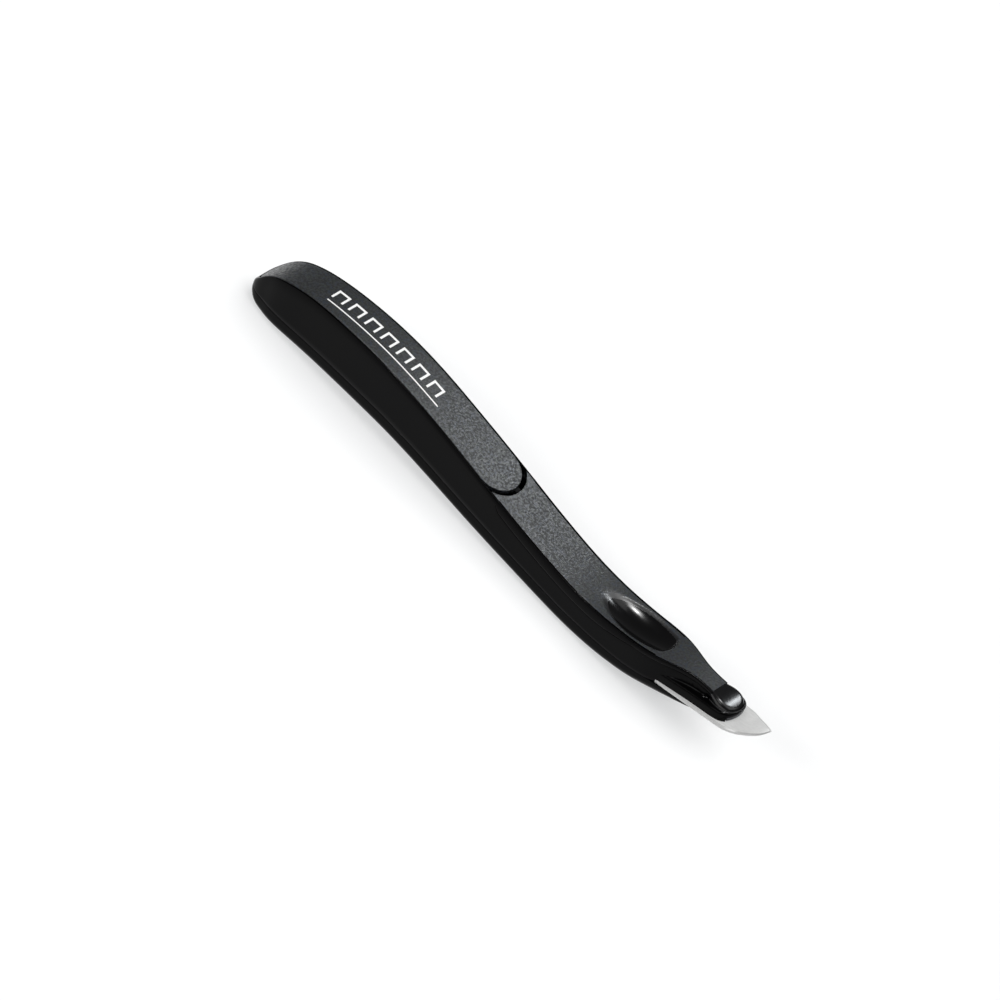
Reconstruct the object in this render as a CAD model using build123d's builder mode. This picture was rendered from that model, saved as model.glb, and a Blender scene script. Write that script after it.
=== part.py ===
from build123d import *
import os
from math import cos, sin, tan, radians, degrees, sqrt, atan, hypot

# Push-type staple remover: a wave-shaped handle with a flat steel lifting blade
# at the nose, a sprung press lever in the rear half of the top, and an ejector
# strip that the lever pushes along the blade.
#
# Row frame: +X towards the blade tip, +Y to the tool's left, +Z up, origin at
# the bottom centre of the bounding box. The handle is drawn in its own frame
# (x from the rear end, z up) and then laid down on its heel and belly by TILT.

os.makedirs("parts", exist_ok=True)

# ---------------------------------------------------------------- dimensions
TILT = 5.9                 # degrees the drawn handle is turned to lie flat
ORIGIN_X = -84.351        # handle rear end to the middle of the bounding box
ORIGIN_Z = 1.80            # height of the handle's drawing origin
WALL = 1.6                 # shell wall
RIM = 0.55                 # visible rim beside the top pieces
GROOVE = 0.2               # gap between lever strip and rim
STRIP_T = 1.0              # lever strip thickness
ARM_T = 1.8                # lever arm thickness
COVER_T = 1.2              # grip cover thickness
DECK_T = 1.4               # deck under the grip cover
BOTTOM_R = 2.1             # rounding of the lower edges

LEVER_SWING = 2.2          # degrees of lever travel
HINGE = (9.0, 8.6)         # lever hinge axis in the side view
HINGE_R = 0.8              # hinge pin radius
HINGE_BORE = 0.85          # bore of the lever's barrel
LEVER_END = 77.75          # centre of the lever's round free end
LEVER_END_R = 6.05         # its radius
SEAM = 1.2                 # gap round the free end

BLADE_T = 0.9              # blade thickness
BLADE_SLOPE = 0.134        # rise of the blade along the handle
BLADE_AT = (150.0, -5.75)  # a point on the blade's top face
BLADE_HALF = 5.3           # half width of the blade
EJECT_TRAVEL = 2.7         # travel of the ejector strip
SWING_RAD = radians(LEVER_SWING)

# side view, top line of the handle
TOP_PTS = [(0.0, 2.2), (0.45, 3.4), (1.6, 5.1), (3.2, 7.2), (5.0, 9.2), (7.6, 11.15),
           (11.0, 12.6), (16.3, 13.95), (22.0, 14.65), (29.0, 14.9), (41.4, 14.35),
           (53.3, 12.55), (65.0, 9.9), (76.6, 6.85), (88.2, 3.65), (99.9, 0.75),
           (111.8, -1.4), (121.6, -1.95), (126.7, -1.75), (131.7, -1.4), (136.9, -0.8),
           (142.0, -0.2), (147.0, -0.05), (154.0, -0.35)]
# side view, underside
BOTTOM_PTS = [(0.0, 2.2), (0.3, 0.7), (1.2, -0.8), (3.0, -1.95), (6.0, -2.48), (10.0, -2.6),
              (16.0, -2.5), (26.0, -2.4), (38.4, -2.8), (50.6, -3.75), (62.5, -5.6),
              (74.4, -7.7), (86.3, -9.7), (98.2, -11.6), (110.2, -13.25), (117.6, -13.65),
              (124.1, -13.5), (130.2, -12.9), (135.5, -12.0), (140.0, -11.0), (144.5, -9.8),
              (148.0, -8.65), (151.0, -7.5), (152.6, -6.8)]
# side view, joint between the shell and the bottom cover
PART_PTS = [(0.0, 2.2), (3.0, 2.0), (8.0, 1.9), (16.3, 1.9), (26.0, 2.0), (38.4, 1.6),
            (50.6, 0.7), (62.5, -1.2), (74.4, -3.3), (86.3, -5.3), (98.2, -7.2),
            (110.2, -8.8), (117.6, -9.35), (124.1, -9.5), (130.2, -9.303)]
# plan view, half widths of the upper body and of the lower body
UPPER_PTS = [(0.0, 0.0), (0.15, 1.9), (0.9, 3.3), (2.4, 4.2), (5.0, 4.8), (7.6, 5.3),
             (11.0, 5.65), (16.3, 5.85), (29.0, 6.3), (41.4, 6.6), (53.3, 6.7), (65.0, 6.7),
             (76.6, 6.8), (88.2, 6.8), (99.9, 6.7), (111.8, 6.64), (121.6, 6.6),
             (127.0, 6.5), (132.0, 6.35), (135.5, 6.05), (138.5, 5.5), (141.0, 4.8),
             (143.5, 4.0), (146.0, 3.3), (149.0, 2.85), (154.0, 2.85)]
LOWER_PTS = [(0.0, 0.0), (0.15, 1.9), (0.9, 3.3), (2.4, 4.2), (5.0, 4.8), (7.6, 5.3),
             (11.0, 5.65), (16.3, 5.85), (29.0, 6.3), (41.4, 6.6), (53.3, 6.7), (65.0, 6.7),
             (76.6, 6.8), (88.2, 6.8), (99.9, 6.7), (111.8, 6.64), (121.6, 6.6),
             (127.0, 6.5), (132.0, 6.35), (136.0, 6.0), (140.0, 5.6), (144.0, 5.25),
             (148.0, 4.95), (152.6, 4.4)]

# ------------------------------------------------------------------- helpers
CT, ST = cos(radians(TILT)), sin(radians(TILT))


def place(x, z, y=0.0):
    """Handle-frame point to row-frame point."""
    return (ORIGIN_X + x * CT - z * ST, y, ORIGIN_Z + x * ST + z * CT)


SIDE = Plane(origin=place(0, 0), x_dir=(CT, 0, ST), z_dir=(0, -1, 0))
PLAN = Plane(origin=place(0, 0), x_dir=(CT, 0, ST), z_dir=(-ST, 0, CT))
BLADE_ANGLE = radians(TILT) + atan(BLADE_SLOPE)
CB, SB = cos(BLADE_ANGLE), sin(BLADE_ANGLE)
BLADE = Plane(origin=place(*BLADE_AT), x_dir=(CB, 0, SB), z_dir=(-SB, 0, CB))
BLADE_RUN = sqrt(1 + BLADE_SLOPE**2)


def value(pts, x):
    """Straight-line reading of a point table."""
    for (x0, z0), (x1, z1) in zip(pts, pts[1:]):
        if x <= x1:
            return z0 + (z1 - z0) * (x - x0) / (x1 - x0)
    return pts[-1][1]


def top(x):
    return value(TOP_PTS, x)


def bottom(x):
    return value(BOTTOM_PTS, x)


def blade_top(x):
    return BLADE_AT[1] + BLADE_SLOPE * (x - BLADE_AT[0])


def half(x):
    return value(UPPER_PTS, x)


def along_blade(x):
    """Handle x to a coordinate along the blade plane."""
    return (x - BLADE_AT[0]) * BLADE_RUN


def side_spline(pts, dz=0.0):
    Spline(*[(x, z + dz) for x, z in pts], tangents=[(0, 1), (1, -0.05)], tangent_scalars=[0.6, 1.0])


def above_top(dz, x_start, x_end, ceiling=40.0):
    """Side outline above the top line lowered by dz, between two stations."""
    xs = [x_start] + [x for x, _ in TOP_PTS if x_start + 0.4 < x < x_end - 0.4] + [x_end]
    Spline(*[(x, top(x) + dz) for x in xs])
    Polyline((x_end, top(x_end) + dz), (x_end, ceiling), (x_start, ceiling),
             (x_start, top(x_start) + dz))


def half_outline(rows):
    """Closed plan outline, smooth along each side and square at the front."""
    Spline(*rows, tangents=[(0, 1), (1, 0)], tangent_scalars=[0.6, 1.0])
    Spline(*[(x, -y) for x, y in rows], tangents=[(0, -1), (1, 0)], tangent_scalars=[0.6, 1.0])
    (xe, ye) = rows[-1]
    Line((xe, ye), (xe, -ye))


def plan_rows(inset, start, end):
    """Rows of a rounded-rear plan outline held inset inside the upper body."""
    w = half(start + 4.0) - inset
    rows = [(start, 0.0), (start + 0.2, 0.45 * w), (start + 0.95, 0.74 * w),
            (start + 2.2, 0.9 * w), (start + 4.0, w)]
    rows += [(x, y - inset) for x, y in UPPER_PTS if start + 5.0 < x < end - 0.5]
    rows.append((end, half(end) - inset))
    return rows


def strip_rows(inset, x0, x1, table=UPPER_PTS):
    """Rows of a polygon following the plan outline with straight ends."""
    xs = [x0] + [x for x, _ in table if x0 + 0.3 < x < x1 - 0.3] + [x1]
    return [(x, value(table, x) - inset) for x in xs]


def mirrored_polygon(rows):
    pts = rows + [(x, -y) for x, y in reversed(rows)]
    Polyline(*pts, close=True)


# -------------------------------------------------------------- outer forms
# Upper body: side profile met with the plan outline.
with BuildPart() as upper_form:
    with BuildSketch(SIDE):
        with BuildLine():
            side_spline(TOP_PTS)
            Spline(*PART_PTS)
            Polyline(PART_PTS[-1], (154.0, blade_top(154.0) - BLADE_T), TOP_PTS[-1])
        make_face()
    extrude(amount=12, both=True)
    with BuildSketch(PLAN):
        with BuildLine():
            half_outline(UPPER_PTS)
        make_face()
    extrude(amount=45, both=True, mode=Mode.INTERSECT)

# Lower body: the same plan at the rear, keeping its width under the blade.
with BuildPart() as lower_form:
    with BuildSketch(SIDE):
        with BuildLine():
            Spline(*PART_PTS)
            Polyline(PART_PTS[-1], (152.6, blade_top(152.6) - BLADE_T), BOTTOM_PTS[-1])
            Spline(*BOTTOM_PTS, tangents=[(0, -1), (1, 0.45)], tangent_scalars=[0.6, 1.0])
        make_face()
    extrude(amount=12, both=True)
    with BuildSketch(PLAN):
        with BuildLine():
            half_outline(LOWER_PTS)
        make_face()
    extrude(amount=45, both=True, mode=Mode.INTERSECT)
    # a small land at heel and belly where the tool rests
    long_edges = lower_form.edges().filter_by(lambda e: e.length > 100 and abs(e.center().Y) > 2)
    fillet(long_edges.sort_by(Axis.Z)[0:2], BOTTOM_R)
    with BuildSketch(Plane.XY):
        Rectangle(400, 60)
    extrude(amount=-30, mode=Mode.SUBTRACT)

# -------------------------------------------------- zones cut by the top line
# Grip cover zone: a skin over the front half, with side skirts.
skirt_pts = [(84.2, -COVER_T), (85.6, -2.35), (90.0, -2.55), (100.0, -2.65), (110.0, -2.7),
             (118.0, -2.65), (123.0, -2.3), (127.5, -1.75), (131.0, -COVER_T)]
with BuildPart() as cover_zone:
    with BuildSketch(SIDE):
        with BuildLine():
            Polyline(*[(x, top(x) + d) for x, d in skirt_pts], (131.0, 20.0), (84.2, 20.0), close=True)
        make_face()
    extrude(amount=12, both=True)
    with BuildSketch(PLAN):
        with BuildLine():
            mirrored_polygon(strip_rows(0.9, 80.0, 140.0))
        make_face()
    extrude(amount=45, both=True, mode=Mode.SUBTRACT)

with BuildPart() as cover_skin:
    with BuildSketch(SIDE):
        with BuildLine():
            above_top(-COVER_T, 76.6, 153.0)
        make_face()
    extrude(amount=12, both=True)
    with BuildSketch(PLAN):
        with Locations(((84.2 + 160.0) / 2, 0)):
            Rectangle(160.0 - 84.2, 20)
        with Locations(((LEVER_END + 84.4) / 2, 0)):
            Rectangle(84.4 - LEVER_END, 2 * (half(82) - RIM))
    extrude(amount=45, both=True, mode=Mode.INTERSECT)
    add(cover_zone.part)

# ---------------------------------------------------------------- body shell
WEBS = ((20.0, 2.15), (46.0, 1.5))     # shell screws: station and web underside
with BuildPart() as body_shell:
    add(upper_form.part)
    # foot of the nose, lying on the blade
    with BuildSketch(BLADE):
        with BuildLine():
            foot = [(along_blade(x), y) for x, y in
                    [(135.0, 5.5), (139.0, 5.1), (142.0, 4.75), (145.0, 4.5), (149.0, 4.4),
                     (153.0, 4.5), (156.0, 4.6), (158.2, 4.2), (159.6, 3.1), (160.2, 1.6)]]
            tip = (along_blade(160.4), 0.0)
            Spline(*foot, tip, tangents=[(1, -0.1), (0, -1)])
            Spline(*[(x, -y) for x, y in foot], tip, tangents=[(1, 0.1), (0, 1)])
            Line(foot[0], (foot[0][0], -foot[0][1]))
        make_face()
    extrude(amount=2.6)
    # main hollow, open below and open above under the lever
    with BuildSketch(SIDE):
        with BuildLine():
            deck = [(x, top(x) - COVER_T - DECK_T) for x in (LEVER_END, 88.2, 99.9, 106.0, 112.0)]
            Polyline((1.9, -40), (1.9, 40), (LEVER_END, 40), *deck, (112.0, 5.0), (139.2, 5.0),
                     (139.2, -4.75), (136.0, -4.75), (136.0, -40), close=True)
        make_face()
    hollow = extrude(amount=12, both=True, mode=Mode.PRIVATE)
    with BuildSketch(PLAN):
        with BuildLine():
            mirrored_polygon([(1.9, 2.2), (3.2, 2.9)] + strip_rows(WALL, 5.0, 139.2))
        make_face()
    prism = extrude(amount=45, both=True, mode=Mode.PRIVATE)
    add(hollow.intersect(prism), mode=Mode.SUBTRACT)
    # round front end of the lever well, through the deck
    with BuildSketch(PLAN):
        with Locations((LEVER_END, 0)):
            Circle(LEVER_END_R + SEAM)
        with Locations((LEVER_END, 0)):
            Rectangle(20, 2 * (half(80) - WALL), mode=Mode.INTERSECT)
    extrude(amount=20, mode=Mode.SUBTRACT)
    # recess that the lever strip swings in
    with BuildSketch(SIDE):
        with BuildLine():
            xs = [0.5, 3.2, 7.6, 9.0, 11.0, 16.3, 22.0, 29.0, 41.4, 53.3, 65.0, 76.6, 86.0]
            Polyline(*[(x, top(x) - 1.6 - SWING_RAD * max(0.0, x - HINGE[0])) for x in xs],
                     (86.0, 40), (0.5, 40), close=True)
        make_face()
    swing = extrude(amount=12, both=True, mode=Mode.PRIVATE)
    with BuildSketch(PLAN):
        with BuildLine():
            half_outline(plan_rows(RIM, 0.95, LEVER_END))
        make_face()
        with BuildLine():
            q = half(LEVER_END) - RIM
            CenterArc((LEVER_END, 0), LEVER_END_R + SEAM, -90, 180)
            Line((LEVER_END, -LEVER_END_R - SEAM), (LEVER_END, LEVER_END_R + SEAM))
        make_face()
        with BuildLine():
            mirrored_polygon([(-1, q + 0.02), (90, q + 0.02)])
        make_face(mode=Mode.INTERSECT)
    well = extrude(amount=45, both=True, mode=Mode.PRIVATE)
    add(swing.intersect(well), mode=Mode.SUBTRACT)
    # seat of the grip cover
    add(cover_skin.part, mode=Mode.SUBTRACT)
    # seat of the nose cap on the foot
    with BuildSketch(BLADE.offset(2.6)):
        with Locations(((along_blade(153.0) + along_blade(165.0)) / 2, 0)):
            Rectangle(along_blade(165.0) - along_blade(153.0), 20)
    extrude(amount=12, mode=Mode.SUBTRACT)
    # tunnel for the ejector strip, roofed by the foot and floored by the blade
    with BuildSketch(BLADE):
        with Locations(((along_blade(134.0) + along_blade(162.0)) / 2, 0)):
            Rectangle(along_blade(162.0) - along_blade(134.0), 2 * 3.45)
    extrude(amount=1.55, mode=Mode.SUBTRACT)
    # pocket for the blade between shell and bottom cover
    with BuildSketch(BLADE.offset(-BLADE_T - 2.0)):
        with Locations(((along_blade(134.2) + along_blade(162.0)) / 2, 0)):
            Rectangle(along_blade(162.0) - along_blade(134.2), 2 * (BLADE_HALF + 0.02))
    extrude(amount=BLADE_T + 2.0, mode=Mode.SUBTRACT)
    # blind holes for the hinge pin
    with BuildSketch(SIDE.offset(-4.65)):
        with Locations(HINGE):
            Circle(HINGE_R)
    extrude(amount=9.3, mode=Mode.SUBTRACT)
    # cross webs that take the shell screws
    for wx, wz in WEBS:
        with BuildSketch(SIDE.offset(-(half(wx) - WALL + 0.15))):
            with Locations((wx, (wz + 6.2) / 2)):
                Rectangle(5.6, 6.2 - wz)
        extrude(amount=2 * (half(wx) - WALL + 0.15))
        with BuildSketch(PLAN.offset(-5)):
            with Locations((wx, 0)):
                Circle(0.8)
        extrude(amount=10.2, mode=Mode.SUBTRACT)
body_shell.part.label = "body_shell"
export_step(body_shell.part, "parts/body_shell.step")

# -------------------------------------------------------------- bottom cover
SCREW_X = (125.0, 133.0)      # blade screws
MAGNET = (137.8, 143.6, 3.2, 1.1)
with BuildPart() as bottom_cover:
    add(lower_form.part)
    with BuildSketch(SIDE):
        with BuildLine():
            xs = [1.9, 6.0, 16.0, 26.0, 38.4, 50.6, 62.5, 74.4, 86.3, 98.2, 110.2, 117.6, 124.1,
                  130.2, 134.0]
            Polyline(*[(x, bottom(x) + WALL) for x in xs], (134.0, 40), (1.9, 40), close=True)
        make_face()
    hollow_low = extrude(amount=12, both=True, mode=Mode.PRIVATE)
    with BuildSketch(PLAN):
        with BuildLine():
            mirrored_polygon([(1.9, 2.2), (3.2, 2.9)] + strip_rows(WALL, 5.0, 134.0, LOWER_PTS))
        make_face()
    prism_low = extrude(amount=45, both=True, mode=Mode.PRIVATE)
    add(hollow_low.intersect(prism_low), mode=Mode.SUBTRACT)
    # bosses for the shell screws, up to the webs
    for wx, wz in WEBS:
        with BuildSketch(PLAN.offset(bottom(wx) + 1.0)):
            with Locations((wx, 0)):
                Circle(2.7)
        extrude(amount=wz - bottom(wx) - 1.0)
        with BuildSketch(PLAN.offset(bottom(wx) - 3.0)):
            with Locations((wx, 0)):
                Circle(1.0)
        extrude(amount=12, mode=Mode.SUBTRACT)
        with BuildSketch(PLAN.offset(bottom(wx) - 3.0)):
            with Locations((wx, 0)):
                Circle(2.0)
        extrude(amount=3.0 + 2.0, mode=Mode.SUBTRACT)
    # columns that carry the blade tang
    for bx in SCREW_X:
        with BuildSketch(BLADE.offset(-BLADE_T - 3.2)):
            with Locations((along_blade(bx), 0)):
                Circle(2.9)
        extrude(amount=3.2)
        with BuildSketch(BLADE.offset(-9.0)):
            with Locations((along_blade(bx), 0)):
                Circle(1.0)
        extrude(amount=9.0, mode=Mode.SUBTRACT)
        with BuildSketch(BLADE.offset(-9.0)):
            with Locations((along_blade(bx), 0)):
                Circle(2.0)
        extrude(amount=9.0 - 2.5, mode=Mode.SUBTRACT)
    # magnet pocket, open towards the blade
    with BuildSketch(BLADE.offset(-BLADE_T - MAGNET[3])):
        with Locations(((along_blade(MAGNET[0]) + along_blade(MAGNET[1])) / 2, 0)):
            Rectangle(along_blade(MAGNET[1]) - along_blade(MAGNET[0]) + 0.1, 2 * MAGNET[2] + 0.1)
    extrude(amount=MAGNET[3] + 0.5, mode=Mode.SUBTRACT)
    # seat of the return spring
    with BuildSketch(Plane.XY.offset(3.6)):
        with Locations((-23.8, 0)):
            Circle(3.0)
    extrude(amount=1.8)
    with BuildSketch(Plane.XY.offset(5.4)):
        with Locations((-23.8, 0)):
            Circle(1.25)
    extrude(amount=1.4)
    # two posts under the lever's tongues
    for sy in (1, -1):
        with BuildSketch(PLAN.offset(bottom(83.0) + 1.2)):
            with Locations((83.0, 3.7 * sy)):
                Circle(1.1)
        extrude(amount=-4.2 - bottom(83.0) - 1.2)
bottom_cover.part.label = "bottom_cover"
export_step(bottom_cover.part, "parts/bottom_cover.step")

# ---------------------------------------------------------------- grip cover
DISH_X, DISH_LEN, DISH_DEPTH, DISH_R = 126.5, 11.0, 1.8, 8.2
DISH_TOP = -1.72
with BuildPart() as dish_cut:
    with BuildSketch(SIDE):
        with BuildLine():
            axis_z = DISH_TOP - DISH_DEPTH + DISH_R
            ThreePointArc((DISH_X - DISH_LEN, DISH_TOP), (DISH_X, DISH_TOP - DISH_DEPTH),
                          (DISH_X + DISH_LEN, DISH_TOP))
            Polyline((DISH_X + DISH_LEN, DISH_TOP), (DISH_X + DISH_LEN, axis_z),
                     (DISH_X - DISH_LEN, axis_z), (DISH_X - DISH_LEN, DISH_TOP))
        make_face()
    revolve(axis=Axis(place(0, axis_z), (CT, 0, ST)))

with BuildPart() as dish_back:
    with BuildSketch(SIDE):
        with BuildLine():
            Polyline((112.4, top(112.4) - 0.3), (121.6, top(121.6) - 0.3), (126.7, top(126.7) - 0.3),
                     (131.7, top(131.7) - 0.3), (139.1, top(139.1) - 0.3), (139.1, -3.3),
                     (134.5, -4.65), (120.0, -4.65), (112.4, -2.9), close=True)
        make_face()
    extrude(amount=12, both=True)
    with BuildSketch(PLAN):
        with BuildLine():
            mirrored_polygon(strip_rows(WALL + 0.05, 112.4, 139.1))
        make_face()
    extrude(amount=45, both=True, mode=Mode.INTERSECT)

# shallow groove that frames the textured top of the cover
with BuildPart() as cover_groove:
    with BuildSketch(SIDE):
        with BuildLine():
            above_top(-0.35, 85.4, 136.9)
        make_face()
    extrude(amount=12, both=True)
    with BuildSketch(PLAN):
        with BuildLine():
            mirrored_polygon(strip_rows(RIM, 85.4, 136.9))
        make_face()
        with BuildLine():
            mirrored_polygon(strip_rows(RIM + GROOVE, 80.0, 140.0))
        make_face(mode=Mode.SUBTRACT)
    extrude(amount=45, both=True, mode=Mode.INTERSECT)

with BuildPart() as grip_cover:
    add(upper_form.part)
    add(cover_skin.part, mode=Mode.INTERSECT)
    with BuildSketch(PLAN):
        with Locations((LEVER_END, 0)):
            Circle(LEVER_END_R + SEAM)
    extrude(amount=20, mode=Mode.SUBTRACT)
    add(dish_back.part)
    for bx, bh in zip(SCREW_X, (4.9, 4.5)):
        with BuildSketch(BLADE.offset(0.02)):
            with Locations((along_blade(bx), 0)):
                Circle(1.7)
        extrude(amount=bh - 0.02)
    add(dish_cut.part, mode=Mode.SUBTRACT)
    add(cover_groove.part, mode=Mode.SUBTRACT)
    for bx in SCREW_X:
        with BuildSketch(BLADE.offset(-1.0)):
            with Locations((along_blade(bx), 0)):
                Circle(0.8)
        extrude(amount=4.9, mode=Mode.SUBTRACT)
grip_cover.part.label = "grip_cover"
export_step(grip_cover.part, "parts/grip_cover.step")

# ------------------------------------------------------------------ nose cap
with BuildPart() as nose_cap:
    with BuildSketch(SIDE):
        with BuildLine():
            foot_top = lambda x: blade_top(x) + 2.6 * BLADE_RUN + 0.005
            Spline((153.02, -0.32), (155.5, -0.35), (157.6, -0.75), (159.0, -1.5))
            Polyline((159.0, -1.5), (159.2, foot_top(159.2)), (153.02, foot_top(153.02)),
                     (153.02, -0.32))
        make_face()
    extrude(amount=6, both=True)
    with BuildSketch(PLAN):
        with BuildLine():
            cap = [(153.02, 2.8), (155.0, 3.0), (157.0, 2.85), (158.4, 2.1), (159.0, 1.1)]
            Spline(*cap, (159.15, 0), tangents=[(1, 0.1), (0, -1)])
            Spline(*[(x, -y) for x, y in cap], (159.15, 0), tangents=[(1, -0.1), (0, 1)])
            Line((153.02, 2.8), (153.02, -2.8))
        make_face()
    extrude(amount=45, both=True, mode=Mode.INTERSECT)
nose_cap.part.label = "nose_cap"
export_step(nose_cap.part, "parts/nose_cap.step")

# --------------------------------------------------------------------- blade
with BuildPart() as blade:
    with BuildSketch(SIDE):
        with BuildLine():
            bend = 158.0
            up = [(161.0, -4.17), (163.5, -3.6), (166.3, -2.5), (168.3, -1.45), (169.8, -0.05)]
            down = [(161.0, -5.02), (163.5, -4.38), (166.3, -3.15), (168.3, -1.95), (169.8, -0.3)]
            Line((117.5, blade_top(117.5)), (bend, blade_top(bend)))
            Spline((bend, blade_top(bend)), *up, tangents=[(1, BLADE_SLOPE), (1, 1.0)])
            Line(up[-1], down[-1])
            Spline((bend, blade_top(bend) - BLADE_T), *down, tangents=[(1, BLADE_SLOPE), (1, 1.1)])
            Line((bend, blade_top(bend) - BLADE_T), (117.5, blade_top(117.5) - BLADE_T))
            Line((117.5, blade_top(117.5) - BLADE_T), (117.5, blade_top(117.5)))
        make_face()
    extrude(amount=8, both=True)
    with BuildSketch(PLAN):
        with BuildLine():
            ogive = [(157.5, BLADE_HALF), (161.0, 5.06), (163.5, 4.28), (166.3, 3.0), (168.3, 1.75)]
            Spline(*ogive, (169.8, 0.12), tangents=[(1, 0), (1, -1.3)])
            Spline(*[(x, -y) for x, y in ogive], (169.8, -0.12), tangents=[(1, 0), (1, 1.3)])
            Line((169.8, 0.12), (169.8, -0.12))
            Polyline((157.5, BLADE_HALF), (137.0, BLADE_HALF), (134.8, 4.2), (117.3, 4.2),
                     (117.3, -4.2), (134.8, -4.2), (137.0, -BLADE_HALF), (157.5, -BLADE_HALF))
        make_face()
    extrude(amount=45, both=True, mode=Mode.INTERSECT)
    with BuildSketch(BLADE.offset(-3)):
        with Locations(*[(along_blade(bx), 0) for bx in SCREW_X]):
            Circle(1.0)
    extrude(amount=6, mode=Mode.SUBTRACT)
blade.part.label = "blade"
export_step(blade.part, "parts/blade.step")

# -------------------------------------------------------------------- screws
with BuildPart() as blade_screws:
    for bx in SCREW_X:
        with BuildSketch(BLADE.offset(-3.8)):
            with Locations((along_blade(bx), 0)):
                Circle(1.8)
                RegularPolygon(0.75, 6, mode=Mode.SUBTRACT)
        extrude(amount=0.7)
        with BuildSketch(BLADE.offset(-3.1)):
            with Locations((along_blade(bx), 0)):
                Circle(1.8)
        extrude(amount=0.6)
        with BuildSketch(BLADE.offset(-2.5)):
            with Locations((along_blade(bx), 0)):
                Circle(0.8)
        extrude(amount=6.2)
blade_screws.part.label = "blade_screws"
export_step(blade_screws.part, "parts/blade_screws.step")

with BuildPart() as shell_screws:
    for wx, wz in WEBS:
        b = bottom(wx)
        with BuildSketch(PLAN.offset(b + 0.7)):
            with Locations((wx, 0)):
                Circle(1.8)
                RegularPolygon(0.75, 6, mode=Mode.SUBTRACT)
        extrude(amount=0.7)
        with BuildSketch(PLAN.offset(b + 1.4)):
            with Locations((wx, 0)):
                Circle(1.8)
        extrude(amount=0.6)
        with BuildSketch(PLAN.offset(b + 2.0)):
            with Locations((wx, 0)):
                Circle(0.8)
        extrude(amount=5.0 - b - 2.0)
shell_screws.part.label = "shell_screws"
export_step(shell_screws.part, "parts/shell_screws.step")

# -------------------------------------------------------------------- magnet
with BuildPart() as magnet:
    with BuildSketch(BLADE.offset(-BLADE_T - MAGNET[3] + 0.02)):
        with Locations(((along_blade(MAGNET[0]) + along_blade(MAGNET[1])) / 2, 0)):
            Rectangle(along_blade(MAGNET[1]) - along_blade(MAGNET[0]), 2 * MAGNET[2])
    extrude(amount=MAGNET[3] - 0.03)
magnet.part.label = "magnet"
export_step(magnet.part, "parts/magnet.step")

# ----------------------------------------------------------------- hinge pin
with BuildPart() as hinge_pin:
    with BuildSketch(SIDE.offset(-4.6)):
        with Locations(HINGE):
            Circle(HINGE_R)
    extrude(amount=9.2)
hinge_pin.part.label = "hinge_pin"
export_step(hinge_pin.part, "parts/hinge_pin.step")

# ------------------------------------------------------------- return spring
SPRING_X, SPRING_LOW, SPRING_HIGH = -23.8, 5.4, 14.9
SPRING_R, WIRE_R = 2.0, 0.25
with BuildPart() as lever_spring:
    with BuildLine(Plane(origin=(SPRING_X, 0, SPRING_LOW + WIRE_R + 0.02))) as coil:
        Helix(pitch=1.8, height=SPRING_HIGH - SPRING_LOW - 2 * WIRE_R - 0.04, radius=SPRING_R)
    with BuildSketch(Plane(origin=coil.line @ 0, z_dir=coil.line % 0)):
        Circle(WIRE_R)
    sweep(is_frenet=True)
lever_spring.part.label = "lever_spring"
export_step(lever_spring.part, "parts/lever_spring.step")

# ----------------------------------------------------------------- stop pads
with BuildPart() as stop_pads:
    for sy in (1, -1):
        with BuildSketch(PLAN.offset(-4.2)):
            with Locations((83.0, 3.7 * sy)):
                Circle(1.1)
        extrude(amount=0.95)
stop_pads.part.label = "stop_pads"
export_step(stop_pads.part, "parts/stop_pads.step")

# --------------------------------------------------------------- slide guide
with BuildPart() as slide_guide:
    with BuildSketch(SIDE.offset(-4.6)):
        with Locations((100.0, (-10.3 - 3.6) / 2)):
            Rectangle(3.0, 10.3 - 3.6)
    extrude(amount=9.2)
    with BuildSketch(SIDE.offset(-2.5)):
        with Locations((100.0, (-6.95 - 4.45) / 2)):
            Rectangle(4.0, 6.95 - 4.45)
    extrude(amount=5, mode=Mode.SUBTRACT)
    add(hollow_low.intersect(prism_low), mode=Mode.INTERSECT)
slide_guide.part.label = "slide_guide"
export_step(slide_guide.part, "parts/slide_guide.step")

# --------------------------------------------------------------- lever strip
with BuildPart() as lever_strip:
    add(upper_form.part)
    with BuildSketch(SIDE):
        with BuildLine():
            above_top(-STRIP_T, 0.45, 88.2)
        make_face()
    extrude(amount=12, both=True, mode=Mode.INTERSECT)
    with BuildSketch(PLAN):
        with BuildLine():
            rows = plan_rows(RIM + GROOVE, 1.35, LEVER_END)
            rows[-1] = (LEVER_END, LEVER_END_R)
            half_outline(rows)
        make_face()
        with Locations((LEVER_END, 0)):
            Circle(LEVER_END_R)
    extrude(amount=45, both=True, mode=Mode.INTERSECT)
lever_strip.part.label = "lever_strip"
export_step(lever_strip.part, "parts/lever_strip.step")

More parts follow.
